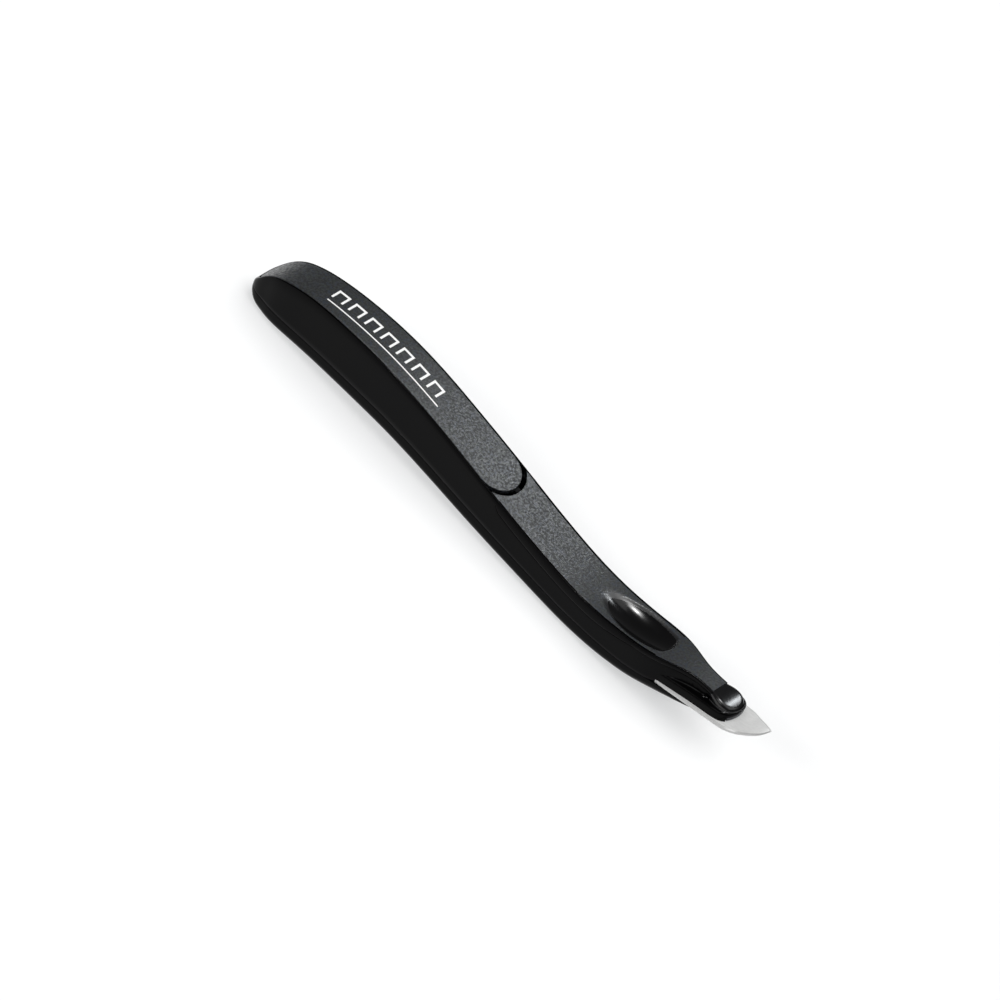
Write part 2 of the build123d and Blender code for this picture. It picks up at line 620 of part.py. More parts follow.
# ----------------------------------------------------------------- lever arm
DRIVE = (74.0, 0.8)           # drive pin axis
DRIVE_R = 0.75
with BuildPart() as lever_arm:
    with BuildSketch(SIDE):
        with BuildLine():
            xs = [4.6, 7.6, 11.0, 16.3, 22.0, 29.0, 41.4, 53.3, 65.0, 76.6, 84.0]
            Spline(*[(x, top(x) - STRIP_T - 0.06) for x in xs])
            Spline(*[(x, top(x) - STRIP_T - ARM_T) for x in xs])
            Line((4.6, top(4.6) - STRIP_T - 0.06), (4.6, top(4.6) - STRIP_T - ARM_T))
            Line((84.0, top(84.0) - STRIP_T - 0.06), (84.0, top(84.0) - STRIP_T - ARM_T))
        make_face()
    extrude(amount=12, both=True)
    with BuildSketch(PLAN):
        with BuildLine():
            mirrored_polygon(strip_rows(WALL + 0.35, 5.2, LEVER_END))
        make_face()
        with Locations((LEVER_END, 0)):
            Circle(half(LEVER_END) - WALL - 0.35)
    extrude(amount=45, both=True, mode=Mode.INTERSECT)
    # hinge barrel
    with BuildSketch(SIDE.offset(-3.2)):
        with Locations(HINGE):
            Circle(2.0)
    extrude(amount=6.4)
    with BuildSketch(SIDE):
        with Locations(HINGE):
            Circle(HINGE_BORE)
    extrude(amount=6, both=True, mode=Mode.SUBTRACT)
    # seat and stud for the return spring
    with BuildSketch(Plane.XY.offset(14.9)):
        with Locations((SPRING_X, 0)):
            Circle(2.8)
    extrude(amount=1.7)
    with BuildSketch(Plane.XY.offset(13.6)):
        with Locations((SPRING_X, 0)):
            Circle(1.25)
    extrude(amount=2.4)
    # fork cheeks that hold the drive pin
    for sy in (1, -1):
        with BuildSketch(SIDE.offset(-1.45 * sy - 0.7)):
            with BuildLine():
                Polyline((72.2, top(72.2) - 1.4), (75.8, top(75.8) - 1.4), (75.8, -0.5),
                         (75.0, -0.95), (73.0, -0.95), (72.2, -0.5), close=True)
            make_face()
        extrude(amount=1.4)
        # tongues that catch under the deck
        with BuildSketch(SIDE.offset(-3.7 * sy - 0.75)):
            with BuildLine():
                Polyline((78.6, top(78.6) - 1.6), (81.2, top(81.2) - 1.6), (81.2, 1.05),
                         (87.2, 1.05), (87.2, -0.2), (78.6, -0.2), close=True)
            make_face()
        extrude(amount=1.5)
    # window above the ejector's tab
    with BuildSketch(PLAN):
        with Locations((73.2, 0)):
            Rectangle(14.0, 1.5)
    extrude(amount=20, mode=Mode.SUBTRACT)
    # hole for the drive pin
    with BuildSketch(SIDE.offset(-3)):
        with Locations(DRIVE):
            Circle(DRIVE_R)
    extrude(amount=6, mode=Mode.SUBTRACT)
lever_arm.part.label = "lever_arm"
export_step(lever_arm.part, "parts/lever_arm.step")

with BuildPart() as drive_pin:
    with BuildSketch(SIDE.offset(-2.15)):
        with Locations(DRIVE):
            Circle(DRIVE_R)
    extrude(amount=4.3)
drive_pin.part.label = "drive_pin"
export_step(drive_pin.part, "parts/drive_pin.step")

# ------------------------------------------------------------- ejector slide
SLOT_END = (70.85, -2.2)      # where the drive pin is at full press, in the slide
with BuildPart() as ejector_slide:
    # long strip, cranked under the grip and then parallel to the blade
    with BuildSketch(SIDE):
        with BuildLine():
            mid = [(77.5, -3.0), (121.0, blade_top(121.0) + 0.8), (160.25, blade_top(160.25) + 0.8)]
            Polyline((77.5, -2.55), (121.0, mid[1][1] + 0.45), (160.6, mid[2][1] + 0.5),
                     (160.6, mid[2][1] - 0.4), (121.0, mid[1][1] - 0.45), (77.5, -3.45), close=True)
        make_face()
    extrude(amount=8, both=True)
    with BuildSketch(PLAN):
        with BuildLine():
            Spline((159.45, 3.2), (160.05, 1.5), (160.2, 0.0), (160.05, -1.5), (159.45, -3.2))
            Polyline((159.45, 3.2), (118.6, 3.2), (116.8, 2.2), (77.5, 2.2), (77.5, -2.2),
                     (116.8, -2.2), (118.6, -3.2), (159.45, -3.2))
        make_face()
    extrude(amount=45, both=True, mode=Mode.INTERSECT)
    # slot round the two screw bosses
    with BuildSketch(PLAN):
        with Locations(((120.1 + 135.2) / 2, 0)):
            SlotOverall(135.2 - 120.1, 3.9)
    extrude(amount=-20, mode=Mode.SUBTRACT)
    # upright tab with the sloping slot
    with BuildSketch(SIDE.offset(-0.55)):
        with BuildLine():
            Polyline((68.9, -3.9), (68.9, -1.0), (72.4, 2.4), (74.8, 2.1), (76.0, 1.2), (76.0, 0.0),
                     (79.6, -2.4), (80.4, -3.3), (77.5, -3.9), close=True)
        make_face()
        with BuildLine():
            slot_line = Line(DRIVE, SLOT_END)
        slot_len = hypot(DRIVE[0] - SLOT_END[0], DRIVE[1] - SLOT_END[1])
        slot_ang = degrees(atan((DRIVE[1] - SLOT_END[1]) / (DRIVE[0] - SLOT_END[0])))
        with Locations(Location(((DRIVE[0] + SLOT_END[0]) / 2, (DRIVE[1] + SLOT_END[1]) / 2, 0),
                                (0, 0, slot_ang))):
            SlotCenterToCenter(slot_len, 2 * (DRIVE_R + 0.08), mode=Mode.SUBTRACT)
    extrude(amount=1.1)
ejector_slide.part.label = "ejector_slide"
export_step(ejector_slide.part, "parts/ejector_slide.step")

box = Compound(children=[p.part for p in (body_shell, bottom_cover, grip_cover, nose_cap, blade,
                                          lever_strip, lever_arm)]).bounding_box()
print("box", box)
print("hinge", place(*HINGE))
print("slide axis", (round(CB, 5), 0, round(SB, 5)), "ratio", EJECT_TRAVEL / 1000 / SWING_RAD)
print("belly", place(112.0, bottom(112.0)))
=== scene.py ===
import bpy
import bmesh
import math
import numpy as np
from mathutils import Vector, Matrix


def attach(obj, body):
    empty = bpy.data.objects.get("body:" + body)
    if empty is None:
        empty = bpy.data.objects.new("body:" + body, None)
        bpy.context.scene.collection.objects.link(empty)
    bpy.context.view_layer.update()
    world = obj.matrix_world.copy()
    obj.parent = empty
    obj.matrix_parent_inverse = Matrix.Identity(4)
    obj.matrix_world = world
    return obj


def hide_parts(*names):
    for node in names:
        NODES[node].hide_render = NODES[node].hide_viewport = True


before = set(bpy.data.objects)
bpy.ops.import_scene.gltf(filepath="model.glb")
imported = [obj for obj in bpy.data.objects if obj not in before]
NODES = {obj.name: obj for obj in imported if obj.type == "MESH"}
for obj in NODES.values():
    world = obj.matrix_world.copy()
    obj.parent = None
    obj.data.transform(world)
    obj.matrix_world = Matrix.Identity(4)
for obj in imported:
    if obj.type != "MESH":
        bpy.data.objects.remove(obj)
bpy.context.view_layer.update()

# ------------------------------------------------------------------ frames
# Shapes are drawn in the handle's own frame in millimetres (x from the rear
# end, z up), then turned into the row frame in metres.
TILT = math.radians(5.9)
CT, ST = math.cos(TILT), math.sin(TILT)
OX, OZ = -84.351, 1.80


def to_row(p):
    p = np.asarray(p, float)
    x, y, z = p[..., 0], p[..., 1], p[..., 2]
    return np.stack([OX + x * CT - z * ST, y, OZ + x * ST + z * CT], -1) / 1000.0


def from_row(p):
    p = np.asarray(p, float) * 1000.0
    x, y, z = p[..., 0] - OX, p[..., 1], p[..., 2] - OZ
    return np.stack([x * CT + z * ST, y, -x * ST + z * CT], -1)


# --------------------------------------------------------- driving tables
TOP_PTS = [(0.0, 2.2), (0.45, 3.4), (1.6, 5.1), (3.2, 7.2), (5.0, 9.2), (7.6, 11.15),
           (11.0, 12.6), (16.3, 13.95), (22.0, 14.65), (29.0, 14.9), (41.4, 14.35),
           (53.3, 12.55), (65.0, 9.9), (76.6, 6.85), (88.2, 3.65), (99.9, 0.75),
           (111.8, -1.4), (121.6, -1.95), (126.7, -1.75), (131.7, -1.4), (136.9, -0.8),
           (142.0, -0.2), (147.0, -0.05), (154.0, -0.35)]
BOTTOM_PTS = [(0.0, 2.2), (0.3, 0.7), (1.2, -0.8), (3.0, -1.95), (6.0, -2.48), (10.0, -2.6),
              (16.0, -2.5), (26.0, -2.4), (38.4, -2.8), (50.6, -3.75), (62.5, -5.6),
              (74.4, -7.7), (86.3, -9.7), (98.2, -11.6), (110.2, -13.25), (117.6, -13.65),
              (124.1, -13.5), (130.2, -12.9), (135.5, -12.0), (140.0, -11.0), (144.5, -9.8),
              (148.0, -8.65), (151.0, -7.5), (152.6, -6.8)]
PART_PTS = [(0.0, 2.2), (3.0, 2.0), (8.0, 1.9), (16.3, 1.9), (26.0, 2.0), (38.4, 1.6),
            (50.6, 0.7), (62.5, -1.2), (74.4, -3.3), (86.3, -5.3), (98.2, -7.2),
            (110.2, -8.8), (117.6, -9.35), (124.1, -9.5), (130.2, -9.303)]
UPPER_PTS = [(0.0, 0.0), (0.15, 1.9), (0.9, 3.3), (2.4, 4.2), (5.0, 4.8), (7.6, 5.3),
             (11.0, 5.65), (16.3, 5.85), (29.0, 6.3), (41.4, 6.6), (53.3, 6.7), (65.0, 6.7),
             (76.6, 6.8), (88.2, 6.8), (99.9, 6.7), (111.8, 6.64), (121.6, 6.6),
             (127.0, 6.5), (132.0, 6.35), (135.5, 6.05), (138.5, 5.5), (141.0, 4.8),
             (143.5, 4.0), (146.0, 3.3), (149.0, 2.85), (154.0, 2.85)]
LOWER_PTS = UPPER_PTS[:19] + [(136.0, 6.0), (140.0, 5.6), (144.0, 5.25), (148.0, 4.95), (152.6, 4.4)]
SKIRT_PTS = [(84.2, 1.2), (85.6, 2.35), (90.0, 2.55), (100.0, 2.65), (110.0, 2.7),
             (118.0, 2.65), (123.0, 2.3), (127.5, 1.75), (131.0, 1.2), (160.0, 1.2)]
RIM, GAP, COVER_T = 0.55, 0.2, 1.2
LEVER_END, LEVER_R, SEAM = 77.75, 6.05, 1.2
SWING = math.radians(2.2)
SLOPE = 0.134
RUN = math.sqrt(1 + SLOPE * SLOPE)


def spline(pts, t0=None, t1=None, per=40):
    """C2 curve through the points, sampled; returns its x and second coordinate."""
    p = np.array(pts, float)
    n = len(p)
    d = np.hypot(*(np.diff(p, axis=0).T))
    t = np.concatenate([[0.0], np.cumsum(d)])
    h = np.diff(t)
    a, b = np.zeros((n, n)), np.zeros((n, 2))
    for i in range(1, n - 1):
        a[i, i - 1], a[i, i], a[i, i + 1] = h[i], 2 * (h[i - 1] + h[i]), h[i - 1]
        b[i] = 3 * (h[i] * (p[i] - p[i - 1]) / h[i - 1] + h[i - 1] * (p[i + 1] - p[i]) / h[i])
    if t0 is None:
        a[0, 0], a[0, 1] = 2, 1
        b[0] = 3 * (p[1] - p[0]) / h[0]
    else:
        a[0, 0] = 1
        b[0] = t0
    if t1 is None:
        a[-1, -1], a[-1, -2] = 2, 1
        b[-1] = 3 * (p[-1] - p[-2]) / h[-1]
    else:
        a[-1, -1] = 1
        b[-1] = t1
    m = np.linalg.solve(a, b)
    out = []
    for i in range(n - 1):
        u = np.linspace(0, 1, per, endpoint=False)[:, None]
        out.append((2 * u**3 - 3 * u**2 + 1) * p[i] + (u**3 - 2 * u**2 + u) * h[i] * m[i]
                   + (-2 * u**3 + 3 * u**2) * p[i + 1] + (u**3 - u**2) * h[i] * m[i + 1])
    out.append(p[-1:])
    return np.concatenate(out)


def reader(curve):
    xs = np.maximum.accumulate(curve[:, 0])
    ys = curve[:, 1]
    return lambda x: np.interp(x, xs, ys)


top = reader(spline(TOP_PTS, (0, 0.6), (1.0, -0.05)))
bottom = reader(spline(BOTTOM_PTS, (0, -0.6), (0.9, 0.42)))
part_low = reader(spline(PART_PTS))
half_up = reader(spline(UPPER_PTS, (0, 0.6), (1.0, 0)))
half_lo = reader(spline(LOWER_PTS, (0, 0.6), (1.0, -0.1)))
skirt = lambda x: np.interp(x, [a for a, _ in SKIRT_PTS], [b for _, b in SKIRT_PTS])
blade_top = lambda x: -5.75 + SLOPE * (np.asarray(x, float) - 150.0)


def part(x):
    x = np.asarray(x, float)
    return np.where(x <= 130.2, part_low(np.minimum(x, 130.2)), blade_top(x) - 0.9)


# ------------------------------------------------------------ mesh helpers
def build(name, verts, faces, face_mats=None, row=False):
    """A mesh object in millimetres, with coincident points joined; tidy() turns it to metres."""
    v = np.asarray(verts, float)
    key = np.round(v / 2e-4).astype(np.int64)
    _, first, inv = np.unique(key, axis=0, return_index=True, return_inverse=True)
    inv = np.asarray(inv).reshape(-1)
    pts = v[first]
    out, mats, seen = [], [], set()
    for fi, f in enumerate(faces):
        g = []
        for k in f:
            k = int(inv[k])
            if k not in g:
                g.append(k)
        if len(g) < 3:
            continue
        s = tuple(sorted(g))
        if s in seen:
            continue
        seen.add(s)
        out.append(g)
        mats.append(face_mats[fi] if face_mats is not None else 0)
    me = bpy.data.meshes.new(name)
    me.from_pydata((pts if row else to_row(pts) * 1000.0).tolist(), [], out)
    me.polygons.foreach_set("material_index", mats)
    bm = bmesh.new()
    bm.from_mesh(me)
    bmesh.ops.recalc_face_normals(bm, faces=bm.faces)
    loose = [q for q in bm.verts if not q.link_faces]
    bmesh.ops.delete(bm, geom=loose, context="VERTS")
    if bm.calc_volume(signed=True) < 0:
        bmesh.ops.reverse_faces(bm, faces=bm.faces)
    bm.to_mesh(me)
    bm.free()
    ob = bpy.data.objects.new(name, me)
    bpy.context.scene.collection.objects.link(ob)
    return ob


def slab(name, up, lo, up_mats=None):
    """Closed body between an upper and a lower grid of points."""
    n, m, _ = up.shape
    verts = np.concatenate([up.reshape(-1, 3), lo.reshape(-1, 3)])
    o = n * m
    faces, mats = [], []
    for i in range(n - 1):
        for j in range(m - 1):
            a = i * m + j
            faces.append((a, a + 1, a + m + 1, a + m))
            mats.append(int(up_mats[i, j]) if up_mats is not None else 0)
            faces.append((o + a, o + a + m, o + a + m + 1, o + a + 1))
            mats.append(0)
    for i in range(n - 1):
        for j in (0, m - 1):
            a, b = i * m + j, (i + 1) * m + j
            faces.append((a, b, o + b, o + a))
            mats.append(0)
    for i in (0, n - 1):
        for j in range(m - 1):
            a = i * m + j
            faces.append((a, a + 1, o + a + 1, o + a))
            mats.append(0)
    return build(name, verts, faces, mats)


def mirror_cols(half_sections):
    """(n, k, 3) sections on +y, outside to centre (y = 0 last) -> full width."""
    other = half_sections[:, -2::-1, :].copy()
    other[..., 1] *= -1
    return np.concatenate([half_sections, other], axis=1)


def rect_sweep(name, rows):
    """Closed bar with a rectangular section: rows of x, half width, low z, high z."""
    r = np.array(rows, float)
    up = np.stack([np.stack([r[:, 0], s * r[:, 1], r[:, 3]], -1) for s in (1, -1)], 1)
    lo = np.stack([np.stack([r[:, 0], s * r[:, 1], r[:, 2]], -1) for s in (1, -1)], 1)
    return slab(name, up, lo)


def cylinder(name, centre, axis, r, start, end, seg=48, row=False):
    axis = np.array(axis, float) / np.linalg.norm(axis)
    side = np.cross(axis, (0.0, 1.0, 0.0))
    if np.linalg.norm(side) < 0.1:
        side = np.cross(axis, (1.0, 0.0, 0.0))
    side /= np.linalg.norm(side)
    up = np.cross(axis, side)
    ang = np.linspace(0, 2 * math.pi, seg, endpoint=False)
    ring = np.cos(ang)[:, None] * side * r + np.sin(ang)[:, None] * up * r
    c = np.array(centre, float)
    verts = np.concatenate([c + axis * start + ring, c + axis * end + ring])
    faces = [tuple(range(seg)), tuple(range(2 * seg - 1, seg - 1, -1))]
    faces += [(i, (i + 1) % seg, seg + (i + 1) % seg, seg + i) for i in range(seg)]
    return build(name, verts, faces, row=row)


def combine(ob, tool, op="DIFFERENCE", keep=False):
    mod = ob.modifiers.new("bool", "BOOLEAN")
    mod.operation = op
    mod.solver = "EXACT"
    mod.object = tool
    dg = bpy.context.evaluated_depsgraph_get()
    me = bpy.data.meshes.new_from_object(ob.evaluated_get(dg))
    ob.modifiers.clear()
    old = ob.data
    ob.data = me
    bpy.data.meshes.remove(old)
    if not keep:
        drop(tool)
    return ob


def drop(ob):
    me = ob.data
    bpy.data.objects.remove(ob)
    bpy.data.meshes.remove(me)


def tidy(ob, angle=32, merge=2e-3):
    """Joins stray points, sets smooth shading and turns the mesh to metres."""
    bm = bmesh.new()
    bm.from_mesh(ob.data)
    bmesh.ops.remove_doubles(bm, verts=bm.verts, dist=merge)
    bmesh.ops.dissolve_degenerate(bm, edges=bm.edges, dist=1e-3)
    bmesh.ops.scale(bm, vec=(1e-3, 1e-3, 1e-3), verts=bm.verts)
    bm.to_mesh(ob.data)
    bm.free()
    ob.data.polygons.foreach_set("use_smooth", [True] * len(ob.data.polygons))
    ob.data.set_sharp_from_angle(angle=math.radians(angle))
    ob.data.update()
    return ob


def quarter(a, b, n):
    """Rounding steps: (inward, down) from the side up to the top."""
    ang = np.linspace(0, math.pi / 2, n + 1)
    return a * (1 - np.cos(ang)), b * (1 - np.sin(ang))


def plate(name, half_xy, top_fn, bot_fn, rt, rb=0.06, nt=6, nb=2, cols=12, bevel=None,
          crown=0.0, flare=None):
    """Closed plate with a symmetric plan outline and worked edges.
    half_xy runs from the rear to the front on +y. bevel=(width, depth) gives a
    flat ground edge in place of a rounding. flare spreads the foot of the wall."""
    side = np.array(half_xy, float)
    k = len(side)
    sq0, sq1 = side[0, 1] > 1e-6, side[-1, 1] > 1e-6
    f = np.linspace(1, -1, cols + 1)[1:-1]

    def loop_of(s):
        other = s[::-1].copy()
        other[:, 1] *= -1
        seg = [s]
        if sq1:
            seg.append(np.stack([np.full(len(f), s[-1, 0]), s[-1, 1] * f], -1))
        seg.append(other if sq1 else other[1:])
        if sq0:
            seg.append(np.stack([np.full(len(f), s[0, 0]), -s[0, 1] * f], -1))
        else:
            seg[-1] = seg[-1][:-1]
        return np.concatenate(seg)

    # inward normals of the outline, from the whole loop
    base = loop_of(side)
    prev, nxt = np.roll(base, 1, 0), np.roll(base, -1, 0)
    e0, e1 = base - prev, nxt - base
    n0 = np.stack([e0[:, 1], -e0[:, 0]], -1)
    n1 = np.stack([e1[:, 1], -e1[:, 0]], -1)
    n0 /= np.maximum(np.linalg.norm(n0, axis=1, keepdims=True), 1e-9)
    n1 /= np.maximum(np.linalg.norm(n1, axis=1, keepdims=True), 1e-9)
    nv = n0 + n1
    nv /= np.maximum(1 + np.sum(n0 * n1, 1, keepdims=True), 0.3)
    inward = nv[:k].copy()
    if sq0:                       # square ends stay in their own plane
        inward[0] = (0.0, -1.0)
    if sq1:
        inward[-1] = (0.0, -1.0)

    def inset(a):
        s = side + inward * a
        if not sq0:
            s[0, 1] = 0.0
        if not sq1:
            s[-1, 1] = 0.0
        if a < 0:
            s[:, 0] = np.maximum(s[:, 0], side[0, 0] if sq0 else -1e9)
            return s
        # where the inset meets the axis, the rest gathers at that point
        mid = k // 2
        out = np.where(s[mid:, 1] <= 0)[0]
        if len(out) and (out[0] + mid < k - 1 or sq1):
            c = out[0] + mid
            p0, p1 = s[c - 1], s[c]
            u = p0[1] / max(p0[1] - p1[1], 1e-9)
            s[c:] = (p0[0] + (p1[0] - p0[0]) * u, 0.0)
        out = np.where(s[:mid, 1] <= 0)[0]
        if len(out) and (out[-1] > 0 or sq0):
            c = out[-1]
            p0, p1 = s[c + 1], s[c]
            u = p0[1] / max(p0[1] - p1[1], 1e-9)
            s[:c + 1] = (p0[0] + (p1[0] - p0[0]) * u, 0.0)
        s[:, 0] = np.maximum.accumulate(s[:, 0])
        return s

    rings = []
    # lower edge, from inside out
    ang = np.linspace(math.pi / 2, 0, nb + 1)
    for t in ang:
        rings.append((rb * (1 - math.cos(t)), "b", rb * (1 - math.sin(t))))
    if flare:
        fr, fh = flare
        rings = [(-fr, "b", 0.0)]
        for t in np.linspace(0, math.pi / 2, 7):
            rings.append((-fr * (1 - math.sin(t)), "b", fh * (1 - math.cos(t))))
    if bevel:
        rings.append((0.0, "t", bevel[1]))
        rings.append((bevel[0], "t", 0.0))
    else:
        inn, down = quarter(rt, rt, nt)
        for a, d in zip(inn, down):
            rings.append((a, "t", d))
    loops, sides = [], []
    for a, ref, off in rings:
        s = inset(a)
        lp = loop_of(s)
        if ref == "b":
            z = bot_fn(lp[:, 0], lp[:, 1]) + off
        else:
            z = top_fn(lp[:, 0], lp[:, 1]) - off
        loops.append(np.column_stack([lp, z]))
        sides.append(s)
    verts = np.concatenate(loops)
    n = len(base)
    faces = []
    for r in range(len(loops) - 1):
        for i in range(n):
            j = (i + 1) % n
            faces.append((r * n + i, r * n + j, (r + 1) * n + j, (r + 1) * n + i))
    cap_mat = len(faces)

    def cap(s, fn):
        nonlocal verts
        w = np.linspace(1, -1, cols + 1)
        g = np.stack([np.repeat(s[:, :1], cols + 1, 1), s[:, 1:2] * w[None, :]], -1)
        z = fn(g[..., 0], g[..., 1])
        if fn is top_fn and crown:
            z = z + crown * (1 - w[None, :] ** 2)
        start = len(verts)
        verts = np.concatenate([verts, np.concatenate([g, z[..., None]], -1).reshape(-1, 3)])
        m = cols + 1
        for i in range(len(s) - 1):
            for j in range(cols):
                q = start + i * m + j
                faces.append((q, q + 1, q + m + 1, q + m))

    cap(sides[-1], top_fn)
    cap(sides[0], bot_fn)
    return build(name, verts, faces)


# ---------------------------------------------------------------- materials
def material(name, build_nodes):
    mat = bpy.data.materials.new(name)
    mat.use_nodes = True
    nt = mat.node_tree
    bsdf = next(n for n in nt.nodes if n.type == "BSDF_PRINCIPLED")
    build_nodes(nt, bsdf)
    return mat


def noise(nt, scale, detail=3.0, rough=0.5, stretch=None):
    tc = nt.nodes.new("ShaderNodeTexCoord")
    mp = nt.nodes.new("ShaderNodeMapping")
    nt.links.new(tc.outputs["Object"], mp.inputs["Vector"])
    if stretch:
        mp.inputs["Scale"].default_value = stretch
    nz = nt.nodes.new("ShaderNodeTexNoise")
    nz.inputs["Scale"].default_value = scale
    nz.inputs["Detail"].default_value = detail
    nz.inputs["Roughness"].default_value = rough
    nt.links.new(mp.outputs["Vector"], nz.inputs["Vector"])
    return nz


def ramp(nt, src, stops):
    r = nt.nodes.new("ShaderNodeValToRGB")
    el = r.color_ramp.elements
    while len(el) < len(stops):
        el.new(0.5)
    for e, (p, c) in zip(el, stops):
        e.position = p
        e.color = (*c, 1.0) if len(c) == 3 else c
    nt.links.new(src, r.inputs["Fac"])
    return r


def span(nt, src, lo, hi):
    m = nt.nodes.new("ShaderNodeMapRange")
    m.inputs["To Min"].default_value = lo
    m.inputs["To Max"].default_value = hi
    nt.links.new(src, m.inputs["Value"])
    return m


def bump(nt, src, bsdf, dist, strength=1.0):
    b = nt.nodes.new("ShaderNodeBump")
    b.inputs["Distance"].default_value = dist
    b.inputs["Strength"].default_value = strength
    nt.links.new(src, b.inputs["Height"])
    nt.links.new(b.outputs["Normal"], bsdf.inputs["Normal"])


def gloss_black(rough=0.1, spec=0.3, tone=1.0):
    def f(nt, b):
        n = noise(nt, 60, 4)
        r = ramp(nt, n.outputs["Fac"], [(0.3, (0.0006 * tone,) * 3), (0.7, (0.0010 * tone, 0.0010 * tone, 0.0013 * tone))])
        nt.links.new(r.outputs["Color"], b.inputs["Base Color"])
        m = span(nt, noise(nt, 420, 3).outputs["Fac"], rough * 0.8, rough * 1.25)
        nt.links.new(m.outputs["Result"], b.inputs["Roughness"])
        b.inputs["Specular IOR Level"].default_value = spec
    return f


def grain(dark, light, rough=0.5, spec=0.35, size=3000, height=2.2e-5):
    def f(nt, b):
        n = noise(nt, size, 2, 0.6)
        tint = noise(nt, size * 0.72, 1, 0.5)
        r = ramp(nt, n.outputs["Fac"], [(0.42, dark), (0.50, tuple((a + c) / 2 for a, c in zip(dark, light))), (0.60, light)])
        t = ramp(nt, tint.outputs["Fac"], [(0.38, (0.74, 0.94, 1.16)), (0.5, (1, 1, 1)), (0.62, (0.94, 1.12, 0.86))])
        mx = nt.nodes.new("ShaderNodeMix")
        mx.data_type = "RGBA"
        mx.blend_type = "MULTIPLY"
        mx.inputs["Factor"].default_value = 1.0
        nt.links.new(r.outputs["Color"], mx.inputs[6])
        nt.links.new(t.outputs["Color"], mx.inputs[7])
        # the grain fades out over the first part of the thumb dish
        at = nt.nodes.new("ShaderNodeAttribute")
        at.attribute_name = "dish"
        sm = nt.nodes.new("ShaderNodeMix")
        sm.data_type = "RGBA"
        nt.links.new(at.outputs["Fac"], sm.inputs["Factor"])
        nt.links.new(mx.outputs[2], sm.inputs[6])
        sm.inputs[7].default_value = (0.004, 0.004, 0.0046, 1)
        nt.links.new(sm.outputs[2], b.inputs["Base Color"])
        m = span(nt, n.outputs["Fac"], rough * 1.38, rough * 0.70)
        m.inputs["From Min"].default_value = 0.38
        m.inputs["From Max"].default_value = 0.62
        rm = nt.nodes.new("ShaderNodeMix")
        rm.data_type = "FLOAT"
        nt.links.new(at.outputs["Fac"], rm.inputs["Factor"])
        nt.links.new(m.outputs["Result"], rm.inputs[2])
        rm.inputs[3].default_value = 0.30
        nt.links.new(rm.outputs[0], b.inputs["Roughness"])
        b.inputs["Specular IOR Level"].default_value = spec
        inv = span(nt, at.outputs["Fac"], 1.0, 0.0)
        hm = nt.nodes.new("ShaderNodeMath")
        hm.operation = "MULTIPLY"
        nt.links.new(n.outputs["Fac"], hm.inputs[0])
        nt.links.new(inv.outputs["Result"], hm.inputs[1])
        bump(nt, hm.outputs["Value"], b, height, 0.9)
    return f


def metal(base, rough, stretch=(1, 1, 1), var=0.08, size=900, metallic=1.0, height=0.0):
    def f(nt, b):
        n = noise(nt, size, 3, 0.6, stretch)
        lo = tuple(c * (1 - var) for c in base)
        hi = tuple(min(1.0, c * (1 + var)) for c in base)
        r = ramp(nt, n.outputs["Fac"], [(0.3, lo), (0.7, hi)])
        nt.links.new(r.outputs["Color"], b.inputs["Base Color"])
        m = span(nt, n.outputs["Fac"], rough * 0.85, rough * 1.2)
        nt.links.new(m.outputs["Result"], b.inputs["Roughness"])
        b.inputs["Metallic"].default_value = metallic
        if height:
            bump(nt, n.outputs["Fac"], b, height, 0.5)
    return f


def plain(dark, light, rough, size=700, spec=0.4, height=0.0):
    def f(nt, b):
        n = noise(nt, size, 3)
        r = ramp(nt, n.outputs["Fac"], [(0.35, dark), (0.65, light)])
        nt.links.new(r.outputs["Color"], b.inputs["Base Color"])
        m = span(nt, n.outputs["Fac"], rough * 0.9, rough * 1.1)
        nt.links.new(m.outputs["Result"], b.inputs["Roughness"])
        b.inputs["Specular IOR Level"].default_value = spec
        if height:
            bump(nt, n.outputs["Fac"], b, height, 0.6)
    return f


M = {
    "gloss": material("gloss_shell", gloss_black(0.08, 0.055)),
    "nose": material("nose_gloss", gloss_black(0.2, 0.45, 2.0)),
    "dish": material("dish_gloss", gloss_black(0.15, 0.32, 1.0)),
    "grip": material("textured_grip", grain((0.0008, 0.0010, 0.0015), (0.026, 0.0275, 0.031), 0.40, 0.72, 1700, 1.1e-4)),
    "blade": material("blade_steel", metal((0.82, 0.82, 0.81), 0.36, (1, 14, 14), 0.05, 160, 0.4)),
    # blade bevel: darker steel on the side-facing bevel faces, painted shade on the blade's edge
    "bevel": material("blade_bevel_painted_shade", metal((0.52, 0.52, 0.515), 0.32, (10, 1, 10), 0.06, 160, 0.5)),
    "screw": material("screw_steel", metal((0.45, 0.45, 0.46), 0.32, (1, 1, 1), 0.08, 900)),
    "magnet": material("magnet_nickel", metal((0.70, 0.69, 0.66), 0.16, (1, 1, 1), 0.04, 500)),
    "spring": material("spring_wire", metal((0.42, 0.42, 0.41), 0.26, (1, 1, 6), 0.08, 700)),
    "rubber": material("bumper_rubber", plain((0.018,) * 3, (0.03,) * 3, 0.75, 900, 0.3, 1e-5)),
    "guide": material("guide_plastic", plain((0.66, 0.65, 0.61), (0.74, 0.73, 0.69), 0.42, 300)),
    # inner plastic: the lever arm is darkened to near black as painted shade, standing in for the shadow in the gap
    # that the shadowless lamps do not cast
    "inner": material("inner_plastic", plain((0.004, 0.004, 0.0045), (0.008, 0.008, 0.0085), 0.5, 800, 0.2)),
    "strip": material("strip_steel", metal((0.045, 0.045, 0.050), 0.42, (1, 12, 12), 0.10, 300)),
    "print": material("print_white", plain((0.78, 0.78, 0.77), (0.86, 0.86, 0.85), 0.5, 2500)),
}


